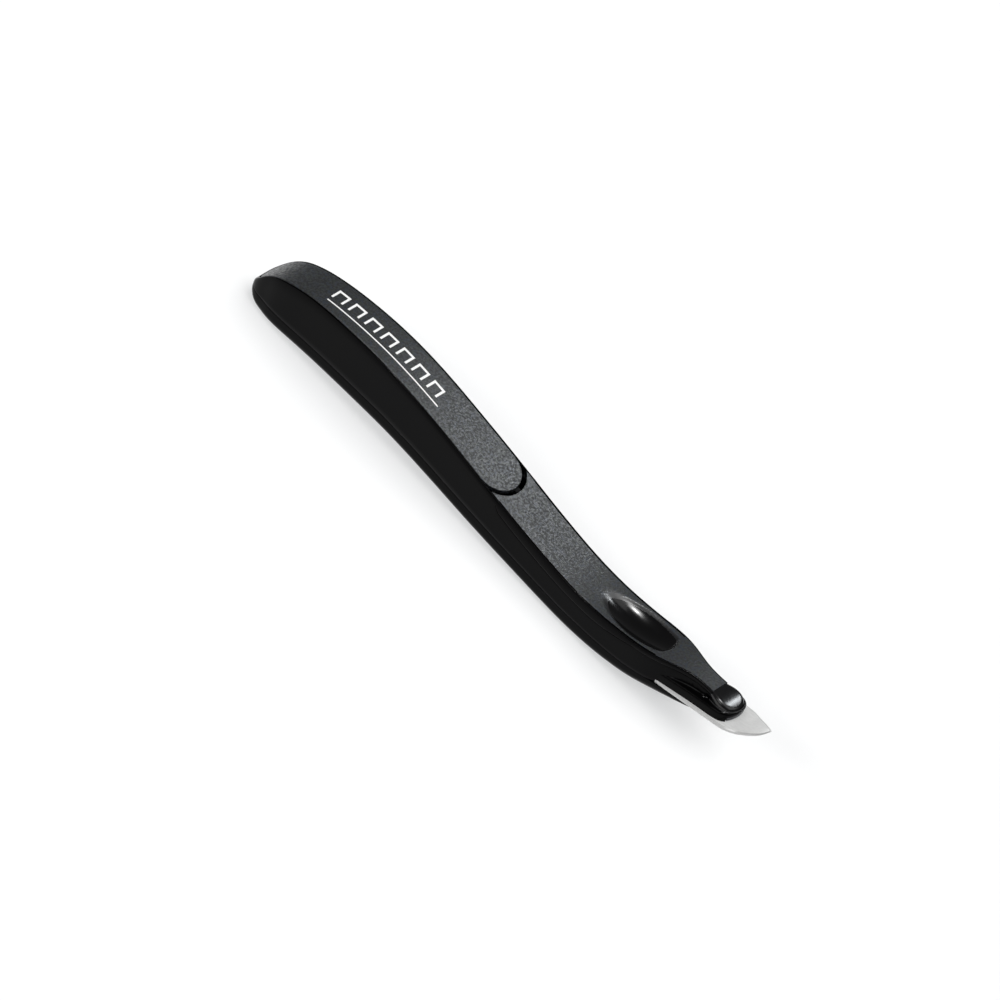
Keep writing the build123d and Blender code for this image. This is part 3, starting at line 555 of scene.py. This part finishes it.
def dress(ob, *keys):
    idx = [0] * len(ob.data.polygons)
    ob.data.polygons.foreach_get("material_index", idx)
    ob.data.materials.clear()
    for k in keys:
        ob.data.materials.append(M[k])
    ob.data.polygons.foreach_set("material_index", [min(i, len(keys) - 1) for i in idx])
    return ob


# ----------------------------------------------------------- station lists
def thin_out(curve, step, close_from, close_step):
    """Evenly spaced points of a sampled curve, closer together towards its front end."""
    keep = [0]
    for i in range(1, len(curve) - 1):
        gap = np.hypot(*(curve[i] - curve[keep[-1]]))
        if gap > (close_step if curve[i][0] > close_from else step) and \
                np.hypot(*(curve[i] - curve[-1])) > 0.8 * close_step:
            keep.append(i)
    return curve[keep + [len(curve) - 1]]


def stations(*blocks):
    xs = []
    for a, b, step in blocks:
        xs += list(np.arange(a, b - 1e-9, step))
    xs.append(blocks[-1][1])
    return np.array(xs)


REAR = [0.012, 0.04, 0.08, 0.14, 0.22, 0.32, 0.45, 0.6, 0.8, 1.0, 1.25, 1.5, 1.8, 2.1, 2.45, 2.8,
        3.2, 3.6, 4.0, 4.5, 5.0, 5.5, 6.0, 6.6, 7.2, 7.8, 8.5, 9.2, 10.0, 11.0, 12.0]

# --------------------------------------------------------- shell of the body
EDGE = 0.14                       # small rounding at the joint lines


def plan_rows(inset, start, end):
    w = float(np.interp(start + 4.0, *zip(*UPPER_PTS))) - inset
    rows = [(start, 0.0), (start + 0.2, 0.45 * w), (start + 0.95, 0.74 * w),
            (start + 2.2, 0.9 * w), (start + 4.0, w)]
    rows += [(x, y - inset) for x, y in UPPER_PTS if start + 5.0 < x < end - 0.5]
    rows.append((end, float(np.interp(end, *zip(*UPPER_PTS))) - inset))
    return rows


well_edge = reader(spline(plan_rows(RIM, 0.95, LEVER_END), (0, 0.6), (1.0, 0)))


def shoulder_depth(x):
    """How far down the side the upper edge is rounded, rear part."""
    return np.interp(x, [0, 6, 12, 25, 45, 70, 84.2], [3.2, 3.6, 3.2, 2.4, 1.8, 1.4, 1.3])


def well_half(x):
    """Half width of the recess the lever swings in."""
    if x <= 0.951:
        return 0.0
    if x < 77.0:
        return float(well_edge(x))
    return float(half_up(x)) - RIM


def well_depth(x):
    if x >= 81.4:
        return COVER_T
    return 1.6 + SWING * max(0.0, x - 9.0)


def shell_section(x, front):
    w, zt, zp = float(half_up(x)), float(top(x)), float(part(x))
    h = zt - zp
    g = min(EDGE, 0.2 * h)
    out = [(w - g, zp), (w - 0.3 * g, zp + 0.3 * g)]
    if not front:
        b = min(float(shoulder_depth(x)), 0.62 * h)
        a = min(RIM - 0.1, 0.4 * w)
        hi = zt - b
    else:
        sk = float(skirt(x))
        a = b = 0.26
        hi = zt - sk - b
    for s in np.linspace(0, 1, 8)[:-1]:
        out.append((w, zp + g + (hi - zp - g) * s))
    inn, down = quarter(a, b, 9)
    for i, d in zip(inn, down):
        out.append((w - i, hi + b - d))
    if not front:
        wy = well_half(x)
        dp = min(well_depth(x) * min(1.0, wy / 0.9), 0.7 * h)
        c = min(0.06, 0.3 * dp)
        edge = min(wy + c, w - a) if wy > 0 else 0.0
        out.append((edge, zt))
        out.append((wy, zt - c))
        out.append((wy, zt - 0.5 * dp))
        out.append((wy, zt - dp))
        base, lvl = wy, zt - dp
    else:
        out.append((w - 0.9, zt - sk))
        out.append((w - 0.9, zt - sk + 0.5 * (sk - COVER_T)))
        out.append((w - 0.9, zt - COVER_T))
        out.append((w - 0.95, zt - COVER_T))
        base, lvl = w - 0.95, zt - COVER_T
    for s in (0.85, 0.6, 0.4, 0.2, 0.0):
        out.append((base * s, lvl))
    return [(x, y, z) for y, z in out]


def grid_from(sections):
    return mirror_cols(np.array(sections, float))


def flat_under(up, zfn):
    """The flat face opposite a grid, ending where the grid's small edge rounding starts."""
    lo = up.copy()
    lo[..., 2] = zfn(up[..., 0])
    lim = np.abs(up[:, :1, 1])
    lo[..., 1] = np.clip(lo[..., 1], -lim, lim)
    return lo


xs_rear = np.array(sorted(set(REAR + [0.951, 0.97, 1.05, 1.15, 1.35]))
                   + list(np.arange(13.0, 81.0, 0.8)) + [81.399, 81.4, 82.0, 82.8, 83.6, 84.199])
xs_front = stations((84.2, 131.0, 0.7), (131.0, 153.02, 0.4))
secs = [shell_section(x, False) for x in xs_rear] + [shell_section(x, True) for x in xs_front]
up = grid_from(secs)
shell = slab("upper_shell", up, flat_under(up, part))

WEBS = ((20.0, 2.15), (46.0, 1.5))


# main hollow of the shell, with the webs left standing in it
q = lambda x: float(half_up(x)) - 1.6
rows = [(1.9, 2.2, -40, 40), (3.2, 2.9, -40, 40)]
rows += [(x, q(x), -40, 40) for x in np.arange(5.0, 77.7, 3.0)] + [(77.74, q(77.74), -40, 40)]
rows += [(x, q(x), -40, float(top(x)) - 2.6) for x in [77.75] + list(np.arange(80.0, 112.0, 2.0)) + [111.99]]
rows += [(x, q(x), -40, 5.0) for x in np.arange(112.0, 136.0, 3.0)] + [(135.99, q(135.99), -40, 5.0)]
rows += [(136.0, q(136.0), -4.75, 5.0), (139.2, q(139.2), -4.75, 5.0)]
hollow = rect_sweep("hollow", rows)
for wx, wz in WEBS:
    web = rect_sweep("web", [(wx - 2.8, 6.6, wz, 6.2), (wx + 2.8, 6.6, wz, 6.2)])
    bore = cylinder("bore", (wx, 0, 0), (0, 0, 1), 0.8, -1.0, 5.2)
    combine(web, bore)
    combine(hollow, web)
combine(shell, hollow)
# round front end of the well, through the deck
rows = []
for t in np.linspace(0, math.pi / 2, 40):
    x = LEVER_END + (LEVER_R + SEAM) * math.sin(t)
    rows.append((x, max(min(q(80.0), (LEVER_R + SEAM) * math.cos(t)), 0.05), -4.0, 40))
combine(shell, rect_sweep("well_end", rows))
# lower step of the nose, lying on the blade
FOOT = [(135.0, 5.5), (139.0, 5.2), (142.0, 5.05), (145.0, 4.9), (149.0, 4.75), (153.0, 4.7),
        (156.0, 4.65), (158.2, 4.2), (159.6, 3.1), (160.2, 1.6), (160.4, 0.0)]
fc = spline(FOOT, (1.0, -0.1), (0, -1.0), per=30)
fc = fc[fc[:, 0] >= 138.0]
foot_half = thin_out(fc, 0.42, 158.0, 0.2)


def foot_top(x, y):
    """Top of the step, with a hollow curve up to the wall of the neck."""
    w = half_up(x)
    fr = np.clip(np.interp(x, *zip(*FOOT[:8])) - 0.45 - w, 0, 1.3) * np.clip((152.4 - x) / 0.8, 0, 1)
    u = np.clip(1 - (np.abs(y) - w) / np.maximum(fr, 1e-6), 0, 1)
    return blade_top(x) + 2.6 * RUN + fr * (1 - np.sqrt(np.maximum(1 - u * u, 0)))


foot = plate("foot", foot_half, foot_top, lambda x, y: blade_top(x) - 0.3, 0.75, 0.1, nt=8, cols=64)
combine(shell, foot, "UNION")
rows = [(x, 5.32, float(blade_top(x)) - 3.0, float(blade_top(x))) for x in (134.2, 148.0, 162.0)]
combine(shell, rect_sweep("pocket", rows))
rows = [(x, 3.45, float(blade_top(x)) - 1.0, float(blade_top(x)) + 1.55 * RUN) for x in (134.0, 148.0, 162.0)]
combine(shell, rect_sweep("tunnel", rows))
pin_hole = cylinder("pin_hole", (9.0, 0, 8.6), (0, 1, 0), 0.8, -4.65, 4.65)
combine(shell, pin_hole)
tidy(shell)
dress(shell, "gloss")
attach(shell, "handle")
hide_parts("body_shell")

# -------------------------------------------------------------- bottom cover
BOTTOM_R = 2.1


def low_section(x):
    w, zp, zb = float(half_lo(x)), float(part(x)), float(bottom(x))
    h = zp - zb
    g = min(EDGE, 0.2 * h)
    b = min(BOTTOM_R * 1.15, 0.8 * (h - g))
    a = min(BOTTOM_R, 0.8 * w)
    out = [(w - g, zp), (w - 0.3 * g, zp - 0.3 * g)]
    for s in np.linspace(0, 1, 6)[:-1]:
        out.append((w, zp - g - (h - g - b) * s))
    inn, down = quarter(a, b, 12)
    for i, d in zip(inn, down):
        out.append((w - i, zb + d))
    for s in (0.75, 0.5, 0.25, 0.0):
        out.append(((w - a) * s, zb))
    res = []
    for y, z in out:
        floor = -(OZ + x * ST) / CT
        res.append((x, y, max(z, floor)))
    return res


xs = np.array(REAR + list(np.arange(13.0, 124.0, 0.8)) + list(np.arange(124.0, 152.6, 0.5)) + [152.6])
lo = grid_from([low_section(x) for x in xs])
up = flat_under(lo, part)
cover = slab("lower_cover", up, lo)
ql = lambda x: float(half_lo(x)) - 1.6
rows = [(1.9, 2.2, float(bottom(1.9)) + 1.6, 40), (3.2, 2.9, float(bottom(3.2)) + 1.6, 40)]
rows += [(x, ql(x), float(bottom(x)) + 1.6, 40) for x in list(np.arange(5.0, 133.0, 3.0)) + [133.93]]
hollow = rect_sweep("hollow_low", rows)
bn = (-SLOPE / RUN, 0, 1 / RUN)                      # blade normal
for wx, wz in WEBS:
    combine(hollow, cylinder("boss", (wx, 0, 0), (0, 0, 1), 2.7, -20, wz))
for bx in (125.0, 133.0):
    combine(hollow, cylinder("boss", (bx, 0, float(blade_top(bx))), bn, 2.9, -12, -0.9))
for sy in (1, -1):
    combine(hollow, cylinder("post", (83.0, 3.7 * sy, 0), (0, 0, 1), 1.1, -20, -4.2))
seat_c = from_row(np.array([-23.8e-3, 0, 0]))
zrow = (ST, 0, CT)
combine(hollow, cylinder("seat", seat_c, zrow, 3.0, 0, 5.4))
combine(hollow, cylinder("stud", seat_c, zrow, 1.25, 0, 6.8))
combine(cover, hollow)
for wx, wz in WEBS:
    b = float(bottom(wx))
    combine(cover, cylinder("bore", (wx, 0, 0), (0, 0, 1), 2.0, b - 3, b + 2.0, seg=64))
    combine(cover, cylinder("bore", (wx, 0, 0), (0, 0, 1), 1.0, b - 3, 9.0))
for bx in (125.0, 133.0):
    c = (bx, 0, float(blade_top(bx)))
    combine(cover, cylinder("bore", c, bn, 2.0, -9.0, -2.5, seg=64))
    combine(cover, cylinder("bore", c, bn, 1.0, -9.0, 0.5))
rows = [(x, 3.25, float(blade_top(x)) - 2.0 * RUN, float(blade_top(x))) for x in (137.75, 143.65)]
combine(cover, rect_sweep("pocket", rows))
tidy(cover)
dress(cover, "gloss")
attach(cover, "handle")
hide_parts("bottom_cover")

# ---------------------------------------------------------------- grip cover
DX, DR, DTOP, DDEEP, DLEN = 126.5, 8.2, -1.72, 1.8, 11.0
RARC = (DLEN**2 + DDEEP**2) / (2 * DDEEP)


def dish_depth(x, y):
    """Depth of the thumb dish below the top line."""
    axis_z = DTOP - DDEEP + DR
    xx = np.clip(x, DX - 16, DX + 16)
    za = DTOP - DDEEP + RARC - np.sqrt(np.maximum(RARC**2 - (xx - DX) ** 2, 0))
    r = axis_z - za
    zd = axis_z - np.sqrt(np.maximum(r**2 - y**2, 0.01))
    d0 = top(x) - zd
    soft = np.interp(x, [112, 120, 126, 132], [0.22, 0.16, 0.10, 0.07])
    d = (d0 + np.sqrt(d0 * d0 + soft**2)) / 2
    d = np.where((d0 < -3 * soft) | (x < DX - 15), 0.0, d * np.clip((d0 + 3 * soft) / (2 * soft), 0, 1))
    xf = 137.9 - 4.2 * (1 - np.sqrt(np.maximum(1 - (y / 5.3) ** 2, 0.0)))
    u = np.clip((xf - x) / 1.1, 0, 1)
    return d * (1 - (1 - u) ** 2.2)


def arc_x(y):
    return LEVER_END + np.sqrt(np.maximum((LEVER_R + SEAM) ** 2 - y**2, 0))


H0 = float(arc_x(6.25))           # where the cover's two horns begin


def cover_section(x, i_round):
    """Columns on +y from the lower outer edge to the centre: (x, y, z, zone)."""
    w, zt = float(half_up(x)), float(top(x))
    horn = x < 84.2 - 1e-6
    out = []
    sk = float(skirt(x))
    if horn:
        wi = w - RIM - 0.05
        for s in np.linspace(0, 1, 18):
            out.append((wi, zt - COVER_T + (COVER_T - 0.12) * s, 0))
        out.append((wi + 0.0, zt - 0.12, 0))
        out.append((wi - 0.03, zt - 0.035, 0))
        edge = wi - 0.12
        out.append((edge, zt, 1))
    else:
        framed = x < 136.9
        if x < 131.0:
            b = min(1.9, sk - 0.25)
            a = 0.40
        else:
            b = np.interp(x, [131, 136, 153], [0.85, 0.55, 0.5])
            a = 0.34
        lowr = 0.10
        out.append((w - lowr, zt - sk, 0))
        out.append((w - 0.03, zt - sk + 0.03, 0))
        out.append((w, zt - sk + lowr, 0))
        mid = zt - b
        out.append((w, zt - sk + lowr + (mid - zt + sk - lowr) * 0.5, 0))
        inn, down = quarter(a, b, 9)
        for i, d in zip(inn, down):
            out.append((w - i, zt - d, 0))
        out.append((w - RIM + 0.04, zt, 0 if framed else 1))
        if framed:
            out.append((w - RIM, zt - 0.04, 0))
            out.append((w - RIM - 0.03, zt - 0.33, 0))
            out.append((w - RIM - GAP + 0.03, zt - 0.33, 0))
            out.append((w - RIM - GAP, zt - 0.11, 0))
            out.append((w - RIM - GAP - 0.03, zt - 0.035, 0))
            edge = w - RIM - GAP - 0.11
            out.append((edge, zt, 1))
        else:
            for s in (0.0, 0.03, 0.17, 0.20, 0.23):
                out.append((w - RIM - s, zt, 1))
            edge = w - RIM - GAP - 0.11
            out.append((edge, zt, 1))
    ncol = 34
    for s in np.linspace(1, 0, ncol + 1)[1:]:
        out.append((edge * s, zt, 1))
    need = 3 + 1 + 10 + 1 + 6 + ncol
    if len(out) < need:
        pad = [out[0]] * (need - len(out))
        out = pad + out
    return [(x, y, z, m) for y, z, m in out]


nominal = np.concatenate([[H0, H0 + 1e-3], np.linspace(H0 + 0.1, 84.199, 7), [84.2],
                          np.arange(84.5, 113.0, 0.6), np.arange(113.0, 139.4, 0.2),
                          np.arange(139.5, 153.0, 0.3), [153.0]])
sec = [cover_section(x, 0) for x in nominal]
cnt = set(len(s) for s in sec)
arr = np.array(sec, float)
zone = arr[..., 3]
half_grid = arr[..., :3]
# bend the first rows round the lever's free end
bend_end = 92.0
X, Y = half_grid[..., 0].copy(), half_grid[..., 1]
shift = (arc_x(np.minimum(Y, 6.25)) - H0) * np.clip((bend_end - X) / (bend_end - H0), 0, 1)
newx = X + shift
depth = top(X) - half_grid[..., 2]
half_grid[..., 0] = newx
half_grid[..., 2] = top(newx) - depth
# dish
on_top = zone > 0.5
dd = dish_depth(half_grid[..., 0], half_grid[..., 1])
half_grid[..., 2] -= np.where(on_top, dd, 0)
full = mirror_cols(half_grid)
zfull = np.concatenate([zone, zone[:, -2::-1]], axis=1)
dfull = np.concatenate([np.where(on_top, dd, 0), np.where(on_top, dd, 0)[:, -2::-1]], axis=1)
# soften the seam edge along the arc
first = full[0].copy()
full[0, :, 2] = np.where(zfull[0] > 0.5, full[0, :, 2] - 0.12, full[0, :, 2])
full[1, :, 0] = full[1, :, 0] + 0.10
# underside: skirts 0.9 thick, the rest a skin over the deck, with a solid pad under the dish
KE = 20                                       # the column at the edge of the textured field
half_lo_grid = half_grid.copy()
wx_ = half_up(half_lo_grid[..., 0])
nom = np.repeat(nominal[:, None], half_grid.shape[1], 1)
col = np.repeat(np.arange(half_grid.shape[1])[None, :], half_grid.shape[0], 0)
horn_ = nom < 84.2 - 1e-6
yy = half_lo_grid[..., 1]
yy = np.where(~horn_ & (col < KE), np.minimum(yy, wx_ - 0.10), yy)
yy = np.where(~horn_ & ((col == KE) | (col == KE + 1)), wx_ - 0.9, yy)
yy = np.where(~horn_ & (col > KE + 1), np.minimum(yy, wx_ - 0.92), yy)
depth_lo = np.where(horn_ | (col > KE), COVER_T, skirt(half_lo_grid[..., 0]))
zl = top(half_lo_grid[..., 0]) - depth_lo
xg = half_lo_grid[..., 0]
pz = np.interp(xg, [112.4, 120.0, 134.5, 139.1], [-2.9, -4.65, -4.65, -3.3])
in_pad = (xg > 112.4) & (xg < 139.1) & (yy < half_up(xg) - 1.65) & (col > KE)
half_lo_grid[..., 1] = yy
half_lo_grid[..., 2] = np.where(in_pad, np.minimum(zl, pz), zl)
lo = mirror_cols(half_lo_grid)
mats = np.zeros((full.shape[0] - 1, full.shape[1] - 1), int)
zc = (zfull[:-1, :-1] + zfull[1:, :-1] + zfull[:-1, 1:] + zfull[1:, 1:]) / 4
dc = (dfull[:-1, :-1] + dfull[1:, :-1] + dfull[:-1, 1:] + dfull[1:, 1:]) / 4
mats[zc > 0.6] = 1
mats[(dc > 0.50) & (zc > 0.6)] = 2
grip = slab("grip_top", full, lo, mats)
tidy(grip, 40)
co = np.zeros(len(grip.data.vertices) * 3)
grip.data.vertices.foreach_get("co", co)
hp = from_row(co.reshape(-1, 3))
edge_y = half_up(hp[:, 0]) - RIM - GAP - 0.05
dep = np.where((np.abs(hp[:, 1]) < edge_y) & (hp[:, 0] > 110), np.clip(top(hp[:, 0]) - hp[:, 2], 0, 3), 0)
t = np.clip((dep - 0.02) / 0.40, 0, 1)
att = grip.data.attributes.new("dish", "FLOAT", "POINT")
att.data.foreach_set("value", (t * t * (3 - 2 * t)).astype(np.float32))
dress(grip, "gloss", "grip", "dish")
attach(grip, "handle")
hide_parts("grip_cover")

# --------------------------------------------------------------- lever strip
rows = plan_rows(RIM + GAP, 1.35, LEVER_END)
rows[-1] = (LEVER_END, LEVER_R)
sc = spline(rows, (0, 0.6), (1.0, 0), per=40)
keep = [0]
for i in range(1, len(sc)):
    if np.hypot(*(sc[i] - sc[keep[-1]])) > (0.12 if sc[i][0] < 3 else 0.35 if sc[i][0] < 12 else 0.8):
        keep.append(i)
sc = sc[keep]
end = [(LEVER_END + LEVER_R * math.sin(t), LEVER_R * math.cos(t)) for t in np.linspace(0, math.pi / 2, 60)]
end[-1] = (LEVER_END + LEVER_R, 0.0)
outline = np.concatenate([sc[sc[:, 0] < LEVER_END - 0.3], np.array(end)])
strip = plate("top_strip", outline, lambda x, y: top(x), lambda x, y: top(x) - 1.0, 0.16, 0.06, nt=5, cols=16)
tidy(strip, 40)
dress(strip, "grip")
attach(strip, "lever")
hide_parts("lever_strip")

# generic printed mark: a thin rule and a row of small staple outlines
bars = [(20.8, 58.4, -2.78, -2.42)]
x0 = 20.6
for k in range(7):
    a = x0 + k * 5.35
    bars += [(a, a + 3.7, 1.55, 2.15), (a, a + 0.6, -1.15, 1.60), (a + 3.1, a + 3.7, -1.15, 1.60)]
vs, fs = [], []
for a, b, c, d in bars:
    n = max(2, int((b - a) / 0.4) + 1)
    xs = np.linspace(a, b, n)
    base = len(vs)
    for x in xs:
        z = float(top(x))
        vs += [(x, d, z + 0.014), (x, c, z + 0.014), (x, c, z - 0.05), (x, d, z - 0.05)]
    for i in range(n - 1):
        o = base + 4 * i
        for s in range(4):
            t = (s + 1) % 4
            fs.append((o + s, o + t, o + 4 + t, o + 4 + s))
    fs.append((base, base + 1, base + 2, base + 3))
    e = base + 4 * (n - 1)
    fs.append((e + 3, e + 2, e + 1, e))
me = bpy.data.meshes.new("printed_mark")
me.from_pydata(to_row(np.array(vs)).tolist(), [], fs)
bm = bmesh.new()
bm.from_mesh(me)
bmesh.ops.recalc_face_normals(bm, faces=bm.faces)
bm.to_mesh(me)
bm.free()
mark = bpy.data.objects.new("printed_mark", me)
bpy.context.scene.collection.objects.link(mark)
dress(mark, "print")
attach(mark, "lever")

# ------------------------------------------------------------------ nose cap
cap_pts = [(153.02, 2.85), (154.4, 3.3), (156.2, 3.6), (158.0, 3.35), (159.4, 2.4), (160.05, 1.25), (160.25, 0.0)]
cc = spline(cap_pts, (0.9, 0.35), (0, -1.0), per=14)
cap_top = reader(spline([(153.02, -0.32), (155.5, -0.35), (157.8, -0.7), (160.3, -1.5)]))
cc = thin_out(cc, 0.3, 157.5, 0.2)
cap = plate("nose_block", cc, lambda x, y: cap_top(x), lambda x, y: blade_top(x) + 2.6 * RUN + 0.005,
            1.05, 0.05, nt=10, cols=14, flare=(0.2, 0.3))
tidy(cap, 45)
dress(cap, "nose")
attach(cap, "handle")
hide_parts("nose_cap")

# --------------------------------------------------------------------- blade
tip_up = reader(spline([(158.0, float(blade_top(158.0))), (161.0, -4.17), (163.5, -3.6), (166.3, -2.5),
                        (168.3, -1.45), (169.8, -0.05)], (1, SLOPE)))
tip_dn = reader(spline([(158.0, float(blade_top(158.0)) - 0.9), (161.0, -5.02), (163.5, -4.38), (166.3, -3.15),
                        (168.3, -1.95), (169.8, -0.3)], (1, SLOPE)))
b_up = lambda x, y: np.where(x < 158.0, blade_top(x), tip_up(np.maximum(x, 158.0)))
b_dn = lambda x, y: np.where(x < 158.0, blade_top(x) - 0.9, tip_dn(np.maximum(x, 158.0)))
og = spline([(157.5, 5.3), (161.0, 5.06), (163.5, 4.28), (166.3, 3.0), (168.3, 1.75), (169.8, 0.12)],
            (1, 0), (0.61, -0.79), per=16)
tang = [(117.5, 4.2), (121, 4.2), (125, 4.2), (130, 4.2), (134.8, 4.2), (136, 4.8), (137.0, 5.3)]
tang += [(x, 5.3) for x in np.arange(138.5, 157.4, 1.5)]
half = np.concatenate([np.array(tang), og])
blade = plate("steel_blade", half, b_up, b_dn, 0.1, 0.03, nb=1, cols=12, bevel=(0.42, 0.22))
for bx in (125.0, 133.0):
    combine(blade, cylinder("bore", (bx, 0, float(blade_top(bx))), bn, 1.0, -3, 3))
tidy(blade, 20)
for f in blade.data.polygons:        # ground bevels and edges: real ground faces, given a darker steel colour as painted shade on the side-facing edge
    f.material_index = 1 if abs(f.normal.z) < 0.4 or abs(f.normal.y) > 0.2 else 0
dress(blade, "blade", "bevel")
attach(blade, "handle")
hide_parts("blade")

# ----------------------------------------------------- CAD pieces kept as is
# the lever arm takes the inner plastic, darkened as painted shade for the gap
for node, key in {"blade_screws": "screw", "shell_screws": "screw", "magnet": "magnet", "hinge_pin": "screw",
                  "lever_spring": "spring", "stop_pads": "rubber", "slide_guide": "guide", "lever_arm": "inner",
                  "drive_pin": "screw", "ejector_slide": "strip"}.items():
    ob = NODES[node]
    if not ob.material_slots:
        ob.data.materials.append(M[key])
    for s in ob.material_slots:
        s.material = M[key]

# --------------------------------------------------------------------- stage
me = bpy.data.meshes.new("floor")
me.from_pydata([(-1.6, -1.6, 0), (1.6, -1.6, 0), (1.6, 1.6, 0), (-1.6, 1.6, 0)], [], [(0, 1, 2, 3)])
floor = bpy.data.objects.new("floor", me)
bpy.context.scene.collection.objects.link(floor)
floor.location = (0, 0, -0.00005)
me.materials.append(material("pale_floor", plain((0.90, 0.90, 0.90), (0.93, 0.93, 0.93), 0.95, 6, 0.0)))

scene = bpy.context.scene
world = bpy.data.worlds.new("studio") if scene.world is None else scene.world
scene.world = world
world.use_nodes = True
bg = next(n for n in world.node_tree.nodes if n.type == "BACKGROUND")
bg.inputs["Color"].default_value = (1, 1, 1, 1)
bg.inputs["Strength"].default_value = 0.15


def area(name, loc, target, sx, sy, power, col=(1, 1, 1)):
    d = bpy.data.lights.new(name, "AREA")
    d.shape = "RECTANGLE"
    d.size, d.size_y = sx, sy
    d.energy = power
    d.color = col
    o = bpy.data.objects.new(name, d)
    o.location = loc
    o.rotation_mode = "QUATERNION"
    o.rotation_quaternion = (Vector(target) - Vector(loc)).to_track_quat("-Z", "Y")
    scene.collection.objects.link(o)
    return o


for lamp in (area("key", (0.03, 0.63, 0.77), (0, 0, 0), 0.12, 0.12, 1.6, (0.93, 0.97, 1.0)),
             area("overhead", (-0.29, -0.06, 1.15), (0, 0, 0), 0.26, 0.26, 3.6),
             area("spark", (-0.29, -0.04, 1.10), (0, 0, 0), 0.08, 0.08, 2.4)):
    lamp.data.use_shadow = False
area("fill", (0.5, 0.1, 1.4), (0, 0, 0), 1.6, 1.6, 11.5)
area("front", (-0.35, -0.85, 0.75), (0, 0, 0), 0.6, 0.3, 2.4)

# -------------------------------------------------------------------- camera
R = Vector((0.6758, 0.664, 0.3186)).normalized()
U0 = Vector((-0.6816, 0.399, 0.6130))
V = R.cross(U0).normalized()
U = V.cross(R).normalized()
centre = Vector((-0.00516, 0, 0.00811)) + R * 0.001283 - U * 0.000816
cam_d = bpy.data.cameras.new("camera")
cam_d.lens, cam_d.sensor_width = 800, 36
cam_d.clip_start, cam_d.clip_end = 0.5, 40
cam = bpy.data.objects.new("camera", cam_d)
scene.collection.objects.link(cam)
cam.matrix_world = Matrix.Translation(centre + V * 5.182) @ Matrix((R, U, V)).transposed().to_4x4()
scene.camera = cam
scene.view_settings.view_transform = "Standard"
scene.view_settings.look = "None"
